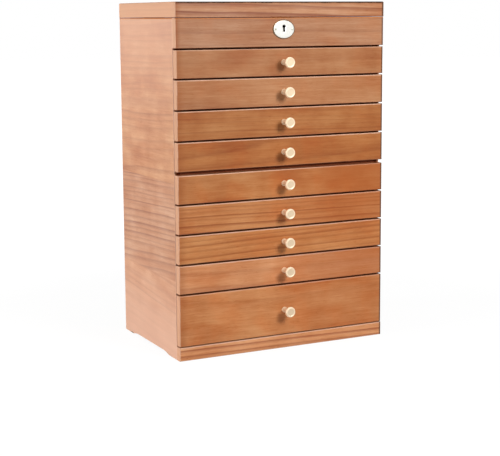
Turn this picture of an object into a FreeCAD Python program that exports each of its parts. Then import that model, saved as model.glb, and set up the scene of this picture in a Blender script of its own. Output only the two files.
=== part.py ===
import FreeCAD, Part
import math
import os
from FreeCAD import Vector

# Jewellery chest: nine drawers under a lined tray, whose mirrored lid has a box lock and two stop hinges.
# All sizes are in millimetres. +Z is up, -Y is the front and +X is the right hand of someone facing it.
# The origin is the middle of the floor under the whole object, knobs and hinge barrels included.

# The case
CHEST_WIDTH = 318.0
CHEST_DEPTH = 205.0
CHEST_HEIGHT = 480.0
SIDE_THICKNESS = 12.0
BACK_PANEL_THICKNESS = 6.0
BACK_RAIL_THICKNESS = 12.0
DADO_DEPTH = 4.0
BASE_BOARD_THICKNESS = 10.0
SHELF_THICKNESS = 9.0
TRAY_FLOOR_THICKNESS = 4.0
TRAY_FLOOR_RISE = 0.5
EDGE_ROUND = 1.3
BACK_EDGE_ROUND = 1.0
SAME_PLANE = 0.001

# Heights on the front, from the floor up
PLINTH_HEIGHT = 18.6
PLINTH_GAP = 1.0
DEEP_FRONT_HEIGHT = 70.1
LOWER_FRONT_HEIGHT = 38.6
UPPER_FRONT_HEIGHT = 39.0
TOP_FRONT_HEIGHT = 37.4
DRAWER_GAP = 2.0
SHELF_GAP = 4.8
RAIL_HEIGHT = 39.7
LID_GAP = 0.3
DRAWER_ABOVE_SHELF = 4

# The shallow arch under each side panel, measured from the front face
ARCH_FRONT_FOOT = 29.0
ARCH_BACK_FOOT = 22.0
ARCH_SLOPE = 30.0
ARCH_RISE = 3.0
ARCH_UNDERCUT = 0.6

# Drawers
FRONT_THICKNESS = 10.0
FRONT_SEAM = 0.5
FRONT_END_INSET = 0.4
BOX_SIDE_CLEARANCE = 0.7
BOX_SIDE_THICKNESS = 9.0
BOX_BACK_THICKNESS = 9.0
BOX_RISE = 3.4
BOX_LESS_THAN_FRONT = 8.0
BOX_SPACE_BEHIND = 10.0
BOTTOM_THICKNESS = 3.0
BOTTOM_INSET = 2.5
BOTTOM_TONGUE = 3.0
RUNNER_HEIGHT = 6.4
RUNNER_REACH = 5.2
RUNNER_SETBACK = 3.0
RUNNER_GROOVE_HEIGHT = 7.0
RUNNER_GROOVE_DEPTH = 5.0

# Linings and dividers
PAD_THICKNESS = 1.6
LINER_THICKNESS = 1.2
LINER_BELOW_RIM = 2.0
DIVIDER_THICKNESS = 3.0
DIVIDER_BELOW_LINER = 3.0
TRAY_LINER_ABOVE_RIM = 0.1
TRAY_DIVIDER_BELOW_RIM = 5.5
DIVIDED_DRAWERS = (1, 2)
TRAY_LONG_DIVIDER = 112.0

# Knobs: a turned stem that flares to a flat head, with a screw from inside the drawer
KNOB_LENGTH = 20.0
KNOB_FOOT_RADIUS = 4.0
KNOB_FOOT_LENGTH = 1.2
KNOB_FOOT_HOLLOW = 0.25
KNOB_WAIST_RADIUS = 3.3
KNOB_WAIST_FROM_FRONT = 4.5
KNOB_STEM_HOLLOW = 0.6
KNOB_FLARE_RADIUS = 6.5
KNOB_FLARE_FROM_FRONT = 16.0
KNOB_HEAD_RADIUS = 7.4
KNOB_HEAD_FROM_FRONT = 18.1
KNOB_HEAD_BULGE = 0.3
KNOB_RIM_RADIUS = 6.2
KNOB_RIM_CROWN = 0.1
KNOB_FACE_RADIUS = 4.8
KNOB_FACE_DISH = 0.4
KNOB_SCREW_RADIUS = 2.0
KNOB_SCREW_DEPTH = 9.0
KNOB_SCREW_HEAD_RADIUS = 3.6
KNOB_SCREW_HEAD_DEPTH = 2.4
SCREW_HOLE_CLEARANCE = 0.2

# Escutcheon
ESCUTCHEON_WIDTH = 33.4
ESCUTCHEON_HEIGHT = 25.8
ESCUTCHEON_THICKNESS = 1.4
ESCUTCHEON_EDGE = 1.2
ESCUTCHEON_RISE = 3.75
ESCUTCHEON_SCREW_SPAN = 26.0
ESCUTCHEON_SCREW_RADIUS = 1.4
ESCUTCHEON_SCREW_LENGTH = 1.8
KEYHOLE_RADIUS = 2.2
KEYHOLE_SLOT_WIDTH = 2.7
KEYHOLE_EYE_RISE = 3.8
KEYHOLE_SLOT_DROP = 3.7

# Box lock
LOCK_WIDTH = 40.0
LOCK_HEIGHT = 25.0
LOCK_DEPTH = 8.4
LOCK_WALL = 1.0
LOCK_LOOP_OFFSET = 9.0
LOOP_THICKNESS = 1.6
LOOP_DEPTH = 5.0
LOOP_DROP = 9.0
LOOP_HOLE_HEIGHT = 3.4
LOOP_HOLE_DEPTH = 3.6
LOOP_HOLE_RISE = 1.5
SLOT_CLEARANCE = 0.6
BOLT_BAR_HEIGHT = 2.2
BOLT_THICKNESS = 3.0
BOLT_POST_WIDTH = 2.4
BOLT_FINGER_LENGTH = 5.0
BOLT_FINGER_HEIGHT = 2.4
BOLT_FINGER_THICKNESS = 2.4
BOLT_CLEARANCE = 0.4
STRIKE_LENGTH = 34.0
STRIKE_WIDTH = 7.0
PLATE_THICKNESS = 1.2

# Stop hinges
HINGE_OFFSET = 105.0
HINGE_LENGTH = 32.0
LEAF_DEPTH = 12.0
BARREL_RADIUS = 2.5
BARREL_CLEARANCE = 0.3
KNUCKLE_LENGTH = 10.5
PIN_RADIUS = 1.1
PIN_RUNNING_CLEARANCE = 0.05
STOP_REACH = 5.5
STOP_ROOT = 2.0
STOP_THICKNESS = 1.6
STOP_HALF_ANGLE = 48.6
LEAF_SCREW_OFFSET = 9.0
SCREW_HEAD_RADIUS = 2.2
SCREW_SHANK_RADIUS = 1.1
SCREW_LENGTH = 9.0

# Lid
LID_MEMBER_WIDTH = 24.0
LID_EDGE_ROUND = 1.5
LID_PANEL_DROP = 0.8
LID_PANEL_THICKNESS = 7.7
LID_TONGUE_LENGTH = 4.0
LID_TONGUE_THICKNESS = 4.0
LID_TONGUE_DROP = 2.0
MIRROR_THICKNESS = 3.0
MIRROR_MARGIN = 5.0
SURROUND_WIDTH = 20.0
SURROUND_THICKNESS = 3.0

# Levels and planes worked out from the sizes above
HALF_WIDTH = CHEST_WIDTH / 2
INSIDE_X = HALF_WIDTH - SIDE_THICKNESS
HINGE_BEHIND = BARREL_RADIUS + BARREL_CLEARANCE
STOP_TIP = HINGE_BEHIND + STOP_REACH * math.cos(math.radians(STOP_HALF_ANGLE))
FRONT_Y = KNOB_LENGTH - (KNOB_LENGTH + CHEST_DEPTH + STOP_TIP) / 2
BACK_Y = FRONT_Y + CHEST_DEPTH
CASE_Y = FRONT_Y + FRONT_THICKNESS + FRONT_SEAM
FRONT_BACK_Y = FRONT_Y + FRONT_THICKNESS
BACK_PANEL_Y = BACK_Y - BACK_PANEL_THICKNESS
BACK_RAIL_Y = BACK_Y - BACK_RAIL_THICKNESS
FRONT_HEIGHTS = [TOP_FRONT_HEIGHT] + 3 * [UPPER_FRONT_HEIGHT] + 4 * [LOWER_FRONT_HEIGHT] + [DEEP_FRONT_HEIGHT]
DRAWER_COUNT = len(FRONT_HEIGHTS)


def front_bottoms():
    """Bottom edge of each drawer front, found by stacking the fronts upwards from the plinth."""
    bottoms = {}
    level = PLINTH_HEIGHT + PLINTH_GAP
    for number in range(DRAWER_COUNT, 0, -1):
        bottoms[number] = level
        gap = SHELF_GAP if number == DRAWER_ABOVE_SHELF + 1 else DRAWER_GAP
        level += FRONT_HEIGHTS[number - 1] + gap
    bottoms[0] = level
    return bottoms


BOTTOMS = front_bottoms()
RAIL_BOTTOM = BOTTOMS[0]
RIM = RAIL_BOTTOM + RAIL_HEIGHT
LID_BOTTOM = RIM + LID_GAP
TRAY_FLOOR_BOTTOM = RAIL_BOTTOM + TRAY_FLOOR_RISE
TRAY_FLOOR_TOP = TRAY_FLOOR_BOTTOM + TRAY_FLOOR_THICKNESS
SHELF_MIDDLE = BOTTOMS[DRAWER_ABOVE_SHELF] - SHELF_GAP / 2
SHELF_BOTTOM = SHELF_MIDDLE - SHELF_THICKNESS / 2
BASE_BOARD_BOTTOM = PLINTH_HEIGHT - BASE_BOARD_THICKNESS
BOX_X = INSIDE_X - BOX_SIDE_CLEARANCE
BOX_INSIDE_X = BOX_X - BOX_SIDE_THICKNESS
BOX_BACK_Y = BACK_PANEL_Y - BOX_SPACE_BEHIND
BOX_INSIDE_BACK_Y = BOX_BACK_Y - BOX_BACK_THICKNESS
KEYHOLE_Z = RAIL_BOTTOM + RAIL_HEIGHT / 2 + ESCUTCHEON_RISE
LOCK_Y = CASE_Y - LOCK_DEPTH / 2
LOOP_BOTTOM = LID_BOTTOM - LOOP_DROP
HINGE_Y = BACK_Y + HINGE_BEHIND
HINGE_Z = RIM + LID_GAP / 2
LID_PANEL_TOP = CHEST_HEIGHT - LID_PANEL_DROP
LID_PANEL_BOTTOM = LID_PANEL_TOP - LID_PANEL_THICKNESS
LID_INSIDE_X = HALF_WIDTH - LID_MEMBER_WIDTH
LID_FRONT_INSIDE_Y = FRONT_Y + LID_MEMBER_WIDTH
LID_BACK_INSIDE_Y = BACK_Y - LID_MEMBER_WIDTH
LEAF_Y = BACK_Y - LEAF_DEPTH


def board(x0, x1, y0, y1, z0, z1):
    """A squared piece between two opposite corners."""
    return Part.makeBox(x1 - x0, y1 - y0, z1 - z0, Vector(x0, y0, z0))


def mirrored(shape):
    """The same piece on the other side of the chest's middle plane."""
    return shape.mirror(Vector(0, 0, 0), Vector(1, 0, 0))


def edges_on(shape, **planes):
    """The edges that lie in every one of the named planes, such as X=10 or Y=-5."""
    found = []
    for edge in shape.Edges:
        box = edge.BoundBox
        gaps = []
        for axis, value in planes.items():
            gaps.append(abs(getattr(box, axis + "Min") - value))
            gaps.append(abs(getattr(box, axis + "Max") - value))
        if max(gaps) < SAME_PLANE:
            found.append(edge)
    return found


def turned_to_front(shape):
    """A flat shape drawn in XY and raised in Z is stood up to face the front."""
    return shape.rotate(Vector(0, 0, 0), Vector(1, 0, 0), 90)


def countersunk_screw(x, y, z, point_z):
    """A screw whose head is flush at height z; its point goes towards point_z, up or down."""
    direction = 1 if point_z > z else -1
    axis = Vector(0, 0, direction)
    head = Part.makeCone(SCREW_HEAD_RADIUS, SCREW_SHANK_RADIUS, PLATE_THICKNESS, Vector(x, y, z), axis)
    shank = Part.makeCylinder(SCREW_SHANK_RADIUS, abs(point_z - z), Vector(x, y, z), axis)
    return head.fuse(shank).removeSplitter()


# Case


def arch_tool():
    """The space under a side panel: two S-shaped slopes of two arcs each, and a straight run between."""
    rise = ARCH_RISE + ARCH_UNDERCUT
    radius = (ARCH_SLOPE**2 + rise**2) / (4 * rise)
    low = -ARCH_UNDERCUT
    turn = math.asin(ARCH_SLOPE / 2 / radius)

    def slope(y_start, direction):
        y_end = y_start + direction * ARCH_SLOPE
        middle = Vector(0, (y_start + y_end) / 2, low + rise / 2)
        along = direction * radius * math.sin(turn / 2)
        up = radius * (1 - math.cos(turn / 2))
        first = Vector(0, y_start + along, low + up)
        second = Vector(0, y_end - along, ARCH_RISE - up)
        start = Vector(0, y_start, low)
        end = Vector(0, y_end, ARCH_RISE)
        return start, end, [Part.Arc(start, first, middle).toShape(), Part.Arc(middle, second, end).toShape()]

    front_start, front_end, front_arcs = slope(FRONT_Y + ARCH_FRONT_FOOT, 1)
    back_start, back_end, back_arcs = slope(BACK_Y - ARCH_BACK_FOOT, -1)
    top = Part.makeLine(front_end, back_end)
    floor = Part.makeLine(back_start, front_start)
    wire = Part.Wire(Part.__sortEdges__(front_arcs + [top] + back_arcs + [floor]))
    return Part.Face(wire).extrude(Vector(CHEST_WIDTH, 0, 0)).translate(Vector(-HALF_WIDTH, 0, 0))


def side_panel():
    """The right side panel, with dadoes for the boards it carries and a rabbet for the back panel."""
    panel = board(INSIDE_X, HALF_WIDTH, CASE_Y, BACK_Y, 0, RIM)
    panel = panel.makeFillet(BACK_EDGE_ROUND, edges_on(panel, X=HALF_WIDTH, Y=BACK_Y))
    for housed in (base_board(), mid_shelf(), tray_floor(), back_panel()):
        panel = panel.cut(housed)
    return panel.cut(arch_tool())


def back_panel():
    """A thin panel let into rabbets in the side panels, from just off the floor to the back rail."""
    x = INSIDE_X + BACK_PANEL_THICKNESS
    return board(-x, x, BACK_PANEL_Y, BACK_Y, ARCH_RISE, RAIL_BOTTOM)


def base_board():
    """The board under the bottom drawer, housed in both side panels."""
    x = INSIDE_X + DADO_DEPTH
    return board(-x, x, CASE_Y, BACK_PANEL_Y, BASE_BOARD_BOTTOM, PLINTH_HEIGHT)


def mid_shelf():
    """The fixed shelf between the fourth and fifth drawer. Its front edge shows in the wider gap."""
    x = INSIDE_X + DADO_DEPTH
    return board(-x, x, CASE_Y, BACK_PANEL_Y, SHELF_BOTTOM, SHELF_BOTTOM + SHELF_THICKNESS)


def tray_floor():
    """The floor of the top tray, let into grooves in the sides, the lock rail and the back rail."""
    x = INSIDE_X + DADO_DEPTH
    return board(-x, x, CASE_Y - DADO_DEPTH, BACK_RAIL_Y + DADO_DEPTH, TRAY_FLOOR_BOTTOM, TRAY_FLOOR_TOP)


def faced_board(z0, z1):
    """A fixed board across the whole front, with its four front edges rounded over."""
    rail = board(-HALF_WIDTH, HALF_WIDTH, FRONT_Y, CASE_Y, z0, z1)
    return rail.makeFillet(EDGE_ROUND, edges_on(rail, Y=FRONT_Y))


def lock_rail():
    """The fixed board under the lid: a pocket for the lock, a keyhole and a groove for the tray floor."""
    pocket = board(-LOCK_WIDTH / 2, LOCK_WIDTH / 2, CASE_Y - LOCK_DEPTH, CASE_Y, RIM - LOCK_HEIGHT, RIM)
    rail = faced_board(RAIL_BOTTOM, RIM).cut(pocket).cut(keyhole_tool()).cut(tray_floor())
    for screw in escutcheon_screws().Solids:
        rail = rail.cut(screw)
    return rail


def back_rail():
    """The board behind the tray, which carries the hinges."""
    rail = board(-INSIDE_X, INSIDE_X, BACK_RAIL_Y, BACK_Y, RAIL_BOTTOM, RIM).cut(tray_floor())
    for side in (-1, 1):
        x = side * HINGE_OFFSET
        rail = rail.cut(leaf_plate(x, RIM - PLATE_THICKNESS))
        for screw in leaf_screws(x, RIM, RIM - SCREW_LENGTH):
            rail = rail.cut(screw)
    return rail


def plinth_rails():
    """The visible plinth board in front and a plain strip under the back of the base board."""
    rear = board(-INSIDE_X, INSIDE_X, BACK_PANEL_Y - BACK_RAIL_THICKNESS, BACK_PANEL_Y, 0, BASE_BOARD_BOTTOM)
    return Part.makeCompound([faced_board(0, PLINTH_HEIGHT), rear])


def box_levels(number):
    """Bottom and top of a drawer's box, which is lower than its front at both edges."""
    bottom = BOTTOMS[number] + BOX_RISE
    return bottom, bottom + FRONT_HEIGHTS[number - 1] - BOX_LESS_THAN_FRONT


def drawer_runners():
    """Two strips to a drawer, glued to the side panels, which its grooved sides slide on."""
    strips = []
    for number in range(1, DRAWER_COUNT + 1):
        middle = sum(box_levels(number)) / 2
        z0 = middle - RUNNER_HEIGHT / 2
        y0 = CASE_Y + RUNNER_SETBACK
        strip = board(INSIDE_X - RUNNER_REACH, INSIDE_X, y0, BACK_PANEL_Y, z0, z0 + RUNNER_HEIGHT)
        strips += [strip, mirrored(strip)]
    return Part.makeCompound(strips)


# Drawers


def drawer_bottom(number):
    """The thin bottom panel, held in grooves in the sides and the front."""
    x = BOX_INSIDE_X + BOTTOM_TONGUE
    z0 = box_levels(number)[0] + BOTTOM_INSET
    return board(-x, x, FRONT_BACK_Y - BOTTOM_TONGUE, BOX_BACK_Y, z0, z0 + BOTTOM_THICKNESS)


def front_middle(number):
    """Height of the middle of a drawer front, where its knob is."""
    return BOTTOMS[number] + FRONT_HEIGHTS[number - 1] / 2


def drawer_front(number):
    """A front with rounded edges, drilled for the knob's screw and grooved for the bottom panel."""
    x = HALF_WIDTH - FRONT_END_INSET
    z0 = BOTTOMS[number]
    front = board(-x, x, FRONT_Y, FRONT_BACK_Y, z0, z0 + FRONT_HEIGHTS[number - 1])
    front = front.makeFillet(EDGE_ROUND, edges_on(front, Y=FRONT_Y))
    into_wood = Vector(0, -1, 0)
    start = Vector(0, FRONT_BACK_Y, front_middle(number))
    hole = Part.makeCylinder(KNOB_SCREW_RADIUS + SCREW_HOLE_CLEARANCE, FRONT_THICKNESS, start, into_wood)
    recess_radius = KNOB_SCREW_HEAD_RADIUS + SCREW_HOLE_CLEARANCE
    recess = Part.makeCylinder(recess_radius, KNOB_SCREW_HEAD_DEPTH, start, into_wood)
    return front.cut(hole).cut(recess).cut(drawer_bottom(number))


def drawer_box(number):
    """Two sides grooved for the runners, a back that stands on the bottom panel, and the bottom panel."""
    z0, z1 = box_levels(number)
    bottom = drawer_bottom(number)
    side = board(BOX_INSIDE_X, BOX_X, FRONT_BACK_Y, BOX_BACK_Y, z0, z1)
    groove_z = (z0 + z1 - RUNNER_GROOVE_HEIGHT) / 2
    groove_x = BOX_X - RUNNER_GROOVE_DEPTH
    groove = board(groove_x, BOX_X, FRONT_BACK_Y, BOX_BACK_Y, groove_z, groove_z + RUNNER_GROOVE_HEIGHT)
    side = side.cut(groove).cut(bottom)
    back = board(-BOX_INSIDE_X, BOX_INSIDE_X, BOX_INSIDE_BACK_Y, BOX_BACK_Y, bottom.BoundBox.ZMax, z1)
    return Part.makeCompound([side, mirrored(side), back, bottom])


def lining(x, y0, y1, z0, z1):
    """A floor pad and four wall liners that fill the inside of a tray or drawer."""
    inner_x = x - LINER_THICKNESS
    pad_top = z0 + PAD_THICKNESS
    return [
        board(-x, x, y0, y1, z0, pad_top),
        board(-x, -inner_x, y0, y1, pad_top, z1),
        board(inner_x, x, y0, y1, pad_top, z1),
        board(-inner_x, inner_x, y0, y0 + LINER_THICKNESS, pad_top, z1),
        board(-inner_x, inner_x, y1 - LINER_THICKNESS, y1, pad_top, z1),
    ]


def drawer_space(number):
    """Inside of a drawer's lining as x half width, y from, y to, z from, z to."""
    floor = drawer_bottom(number).BoundBox.ZMax + PAD_THICKNESS
    rim = box_levels(number)[1] - LINER_BELOW_RIM
    x = BOX_INSIDE_X - LINER_THICKNESS
    y0 = FRONT_BACK_Y + LINER_THICKNESS
    y1 = BOX_INSIDE_BACK_Y - LINER_THICKNESS
    return x, y0, y1, floor, rim


def drawer_dividers(number):
    """Two padded cross slats that part a drawer in three."""
    x, y0, y1, z0, z1 = drawer_space(number)
    half = DIVIDER_THICKNESS / 2
    slat = board(x / 3 - half, x / 3 + half, y0, y1, z0, z1 - DIVIDER_BELOW_LINER)
    return [slat, mirrored(slat)]


def drawer_lining(number):
    """The lining of one drawer, with dividers in the upper ones."""
    x, y0, y1, z0, z1 = drawer_space(number)
    edge = LINER_THICKNESS
    pieces = lining(x + edge, y0 - edge, y1 + edge, z0 - PAD_THICKNESS, z1)
    if number in DIVIDED_DRAWERS:
        pieces += drawer_dividers(number)
    return Part.makeCompound(pieces)


def profile_arc(start, end, bulge):
    """An arc between two points of a half outline, bulging away from the axis, or towards it if below 0."""
    chord = end - start
    middle = (start + end) / 2 + Vector(chord.y, -chord.x, 0).normalize() * bulge
    return Part.Arc(start, middle, end).toShape()


def knob_profile():
    """Half outline of the knob, as radius against distance from the front: foot, waist, flare, rim, face."""
    base = Vector(KNOB_FOOT_RADIUS, 0, 0)
    foot = Vector(KNOB_FOOT_RADIUS, KNOB_FOOT_LENGTH, 0)
    waist = Vector(KNOB_WAIST_RADIUS, KNOB_WAIST_FROM_FRONT, 0)
    flare = Vector(KNOB_FLARE_RADIUS, KNOB_FLARE_FROM_FRONT, 0)
    head = Vector(KNOB_HEAD_RADIUS, KNOB_HEAD_FROM_FRONT, 0)
    rim = Vector(KNOB_RIM_RADIUS, KNOB_LENGTH, 0)
    face = Vector(KNOB_FACE_RADIUS, KNOB_LENGTH - KNOB_FACE_DISH, 0)
    centre = Vector(0, KNOB_LENGTH - KNOB_FACE_DISH, 0)
    axis = Vector(0, 0, 0)
    edges = [
        Part.makeLine(base, foot),
        profile_arc(foot, waist, -KNOB_FOOT_HOLLOW),
        profile_arc(waist, flare, -KNOB_STEM_HOLLOW),
        profile_arc(flare, head, KNOB_HEAD_BULGE),
        profile_arc(head, rim, KNOB_HEAD_BULGE),
        profile_arc(rim, face, KNOB_RIM_CROWN),
        Part.makeLine(face, centre),
        Part.makeLine(centre, axis),
        Part.makeLine(axis, base),
    ]
    return Part.Wire(edges)


def drawer_knob(number):
    """A turned knob and the screw that holds it, in the middle of the drawer front."""
    turned = Part.Face(knob_profile()).revolve(Vector(0, 0, 0), Vector(0, 1, 0), 360)
    knob = turned.mirror(Vector(0, 0, 0), Vector(0, 1, 0))
    knob.translate(Vector(0, FRONT_Y, front_middle(number)))
    outward = Vector(0, -1, 0)
    start = Vector(0, FRONT_BACK_Y, front_middle(number))
    head = Part.makeCylinder(KNOB_SCREW_HEAD_RADIUS, KNOB_SCREW_HEAD_DEPTH, start, outward)
    shank = Part.makeCylinder(KNOB_SCREW_RADIUS, FRONT_THICKNESS + KNOB_SCREW_DEPTH, start, outward)
    screw = head.fuse(shank).removeSplitter()
    return Part.makeCompound([knob.cut(screw), screw])


# Top tray


def tray_space():
    """Inside of the tray's lining as x half width, y from, y to, z from, z to."""
    x = INSIDE_X - LINER_THICKNESS
    y0 = CASE_Y + LINER_THICKNESS
    y1 = BACK_RAIL_Y - LINER_THICKNESS
    return x, y0, y1, TRAY_FLOOR_TOP + PAD_THICKNESS, RIM + TRAY_LINER_ABOVE_RIM


def tray_lining():
    """The tray's floor pad and wall liners, whose top stands just above the rim and closes the lid's seam."""
    x, y0, y1, z0, z1 = tray_space()
    edge = LINER_THICKNESS
    return Part.makeCompound(lining(x + edge, y0 - edge, y1 + edge, z0 - PAD_THICKNESS, z1))


def tray_dividers():
    """A long slat across the tray and two short ones behind it."""
    x, y0, y1, z0, _ = tray_space()
    half = DIVIDER_THICKNESS / 2
    top = RIM - TRAY_DIVIDER_BELOW_RIM
    y = FRONT_Y + TRAY_LONG_DIVIDER
    long_slat = board(-x, x, y - half, y + half, z0, top)
    short_slat = board(x / 3 - half, x / 3 + half, y + half, y1, z0, top)
    return Part.makeCompound([long_slat, short_slat, mirrored(short_slat)])


# Escutcheon and lock


def keyhole_tool():
    """A round eye and a slot below it, running back from the front into the lock."""
    eye = Part.makeCylinder(KEYHOLE_RADIUS, FRONT_THICKNESS, Vector(0, 0, 0), Vector(0, 1, 0))
    eye.translate(Vector(0, FRONT_Y - ESCUTCHEON_THICKNESS, KEYHOLE_Z + KEYHOLE_EYE_RISE))
    y0 = FRONT_Y - ESCUTCHEON_THICKNESS
    half = KEYHOLE_SLOT_WIDTH / 2
    z0 = KEYHOLE_Z - KEYHOLE_SLOT_DROP
    slot = board(-half, half, y0, y0 + FRONT_THICKNESS, z0, KEYHOLE_Z + KEYHOLE_EYE_RISE)
    return eye.fuse(slot).removeSplitter()


def escutcheon_screws():
    """Two small round-headed screws at the ends of the plate."""
    screws = []
    for side in (-1, 1):
        centre = Vector(side * ESCUTCHEON_SCREW_SPAN / 2, FRONT_Y - ESCUTCHEON_THICKNESS, KEYHOLE_Z)
        shank_radius = ESCUTCHEON_SCREW_RADIUS / 2
        shank_length = ESCUTCHEON_THICKNESS + ESCUTCHEON_SCREW_LENGTH
        shank = Part.makeCylinder(shank_radius, shank_length, centre, Vector(0, 1, 0))
        dome = Part.makeSphere(ESCUTCHEON_SCREW_RADIUS, centre, Vector(0, -1, 0), 0, 90, 360)
        screws.append(dome.fuse(shank).removeSplitter())
    return Part.makeCompound(screws)


def escutcheon_plate():
    """An oval plate with a bevelled edge and a keyhole through it."""
    outline = Part.Ellipse(Vector(0, 0, 0), ESCUTCHEON_WIDTH / 2, ESCUTCHEON_HEIGHT / 2).toShape()
    plate = Part.Face(Part.Wire([outline])).extrude(Vector(0, 0, ESCUTCHEON_THICKNESS))
    plate = plate.makeChamfer(ESCUTCHEON_EDGE, edges_on(plate, Z=ESCUTCHEON_THICKNESS))
    plate = turned_to_front(plate)
    plate.translate(Vector(0, FRONT_Y, KEYHOLE_Z))
    plate = plate.cut(keyhole_tool())
    for screw in escutcheon_screws().Solids:
        plate = plate.cut(screw)
    return plate


def lock_case():
    """A hollow metal box in the rail's pocket, open only at the keyhole and at two slots in its top."""
    half = LOCK_WIDTH / 2
    wall = LOCK_WALL
    y0 = CASE_Y - LOCK_DEPTH
    case = board(-half, half, y0, CASE_Y, RIM - LOCK_HEIGHT, RIM)
    hollow = board(
        -half + wall, half - wall, y0 + wall, CASE_Y - wall, RIM - LOCK_HEIGHT + wall, RIM - PLATE_THICKNESS
    )
    case = case.cut(hollow).cut(keyhole_tool())
    slot_x = LOOP_THICKNESS / 2 + SLOT_CLEARANCE
    slot_y = LOOP_DEPTH / 2 + SLOT_CLEARANCE
    slot = board(-slot_x, slot_x, LOCK_Y - slot_y, LOCK_Y + slot_y, RIM - PLATE_THICKNESS, RIM)
    for side in (-1, 1):
        case = case.cut(slot.translated(Vector(side * LOCK_LOOP_OFFSET, 0, 0)))
    return case


def lock_bolt():
    """A bar with two posts, each with a finger that slides through a loop of the strike plate."""
    bar_top = LOOP_BOTTOM - BOLT_CLEARANCE
    loop_x = LOCK_LOOP_OFFSET - LOOP_THICKNESS / 2 - BOLT_CLEARANCE
    finger_middle = LOOP_BOTTOM + LOOP_HOLE_RISE + LOOP_HOLE_HEIGHT / 2
    finger_top = finger_middle + BOLT_FINGER_HEIGHT / 2
    half_bar = BOLT_THICKNESS / 2
    half_finger = BOLT_FINGER_THICKNESS / 2
    tips = (-2 * LOCK_LOOP_OFFSET + loop_x, loop_x)
    post_lefts = [tip - BOLT_FINGER_LENGTH - BOLT_POST_WIDTH for tip in tips]
    bolt = board(
        post_lefts[0],
        post_lefts[1] + BOLT_POST_WIDTH,
        LOCK_Y - half_bar,
        LOCK_Y + half_bar,
        bar_top - BOLT_BAR_HEIGHT,
        bar_top,
    )
    for left, tip in zip(post_lefts, tips):
        post = board(left, left + BOLT_POST_WIDTH, LOCK_Y - half_bar, LOCK_Y + half_bar, bar_top, finger_top)
        finger = board(
            left, tip, LOCK_Y - half_finger, LOCK_Y + half_finger, finger_top - BOLT_FINGER_HEIGHT, finger_top
        )
        bolt = bolt.fuse(post).fuse(finger)
    return bolt.removeSplitter()


def strike_plate():
    """A plate let in flush under the lid, with two loops that hang into the lock, and its two screws."""
    x = STRIKE_LENGTH / 2
    y = STRIKE_WIDTH / 2
    plate = board(-x, x, LOCK_Y - y, LOCK_Y + y, LID_BOTTOM, LID_BOTTOM + PLATE_THICKNESS)
    z0 = LOOP_BOTTOM + LOOP_HOLE_RISE
    half_hole = LOOP_HOLE_DEPTH / 2
    for side in (-1, 1):
        x0 = side * LOCK_LOOP_OFFSET - LOOP_THICKNESS / 2
        x1 = x0 + LOOP_THICKNESS
        loop = board(x0, x1, LOCK_Y - LOOP_DEPTH / 2, LOCK_Y + LOOP_DEPTH / 2, LOOP_BOTTOM, LID_BOTTOM)
        hole = board(x0, x1, LOCK_Y - half_hole, LOCK_Y + half_hole, z0, z0 + LOOP_HOLE_HEIGHT)
        plate = plate.fuse(loop.cut(hole))
    plate = plate.removeSplitter()
    screws = strike_screws()
    for screw in screws:
        plate = plate.cut(screw)
    return Part.makeCompound([plate] + screws)


def strike_screws():
    """The two screws at the ends of the strike plate."""
    x = (STRIKE_LENGTH / 2 + LOCK_LOOP_OFFSET + LOOP_THICKNESS / 2) / 2
    return [countersunk_screw(side * x, LOCK_Y, LID_BOTTOM, LID_BOTTOM + SCREW_LENGTH) for side in (-1, 1)]


# Hinges


def leaf_plate(x, z):
    """The flat part of a hinge leaf, let in flush with the wood."""
    half = HINGE_LENGTH / 2
    return board(x - half, x + half, LEAF_Y, BACK_Y, z, z + PLATE_THICKNESS)


def leaf_screws(x, z, point_z):
    """The two countersunk screws of one leaf."""
    y = (LEAF_Y + BACK_Y) / 2
    return [countersunk_screw(x + side * LEAF_SCREW_OFFSET, y, z, point_z) for side in (-1, 1)]


def barrel_length(x0, x1, radius):
    """A round bar along the hinge axis."""
    return Part.makeCylinder(radius, x1 - x0, Vector(x0, HINGE_Y, HINGE_Z), Vector(1, 0, 0))


def stop_bar(x0, x1, root, angle):
    """A bar that sticks out from the barrel. Its stop face lies in a plane through the hinge axis."""
    below = -STOP_THICKNESS if angle < 0 else 0
    bar = Part.makeBox(x1 - x0, STOP_REACH - root, STOP_THICKNESS, Vector(x0, root, below))
    bar.rotate(Vector(0, 0, 0), Vector(1, 0, 0), angle)
    bar.translate(Vector(0, HINGE_Y, HINGE_Z))
    return bar


def hinge_lower_leaf(x):
    """The leaf on the back rail, with the two end knuckles and a stop bar that bridges the middle one."""
    half = HINGE_LENGTH / 2
    z = RIM - PLATE_THICKNESS
    leaf = leaf_plate(x, z)
    for x0 in (x - half, x + half - KNUCKLE_LENGTH):
        x1 = x0 + KNUCKLE_LENGTH
        tab = board(x0, x1, BACK_Y, HINGE_Y, z, z + PLATE_THICKNESS)
        leaf = leaf.fuse(tab).fuse(barrel_length(x0, x1, BARREL_RADIUS))
        leaf = leaf.fuse(stop_bar(x0, x1, STOP_ROOT, -STOP_HALF_ANGLE))
    bridge_root = BARREL_RADIUS + BARREL_CLEARANCE
    leaf = leaf.fuse(stop_bar(x - half, x + half, bridge_root, -STOP_HALF_ANGLE))
    leaf = leaf.cut(barrel_length(x - half, x + half, PIN_RADIUS)).removeSplitter()
    screws = leaf_screws(x, RIM, RIM - SCREW_LENGTH)
    for screw in screws:
        leaf = leaf.cut(screw)
    return [leaf] + screws


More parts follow.
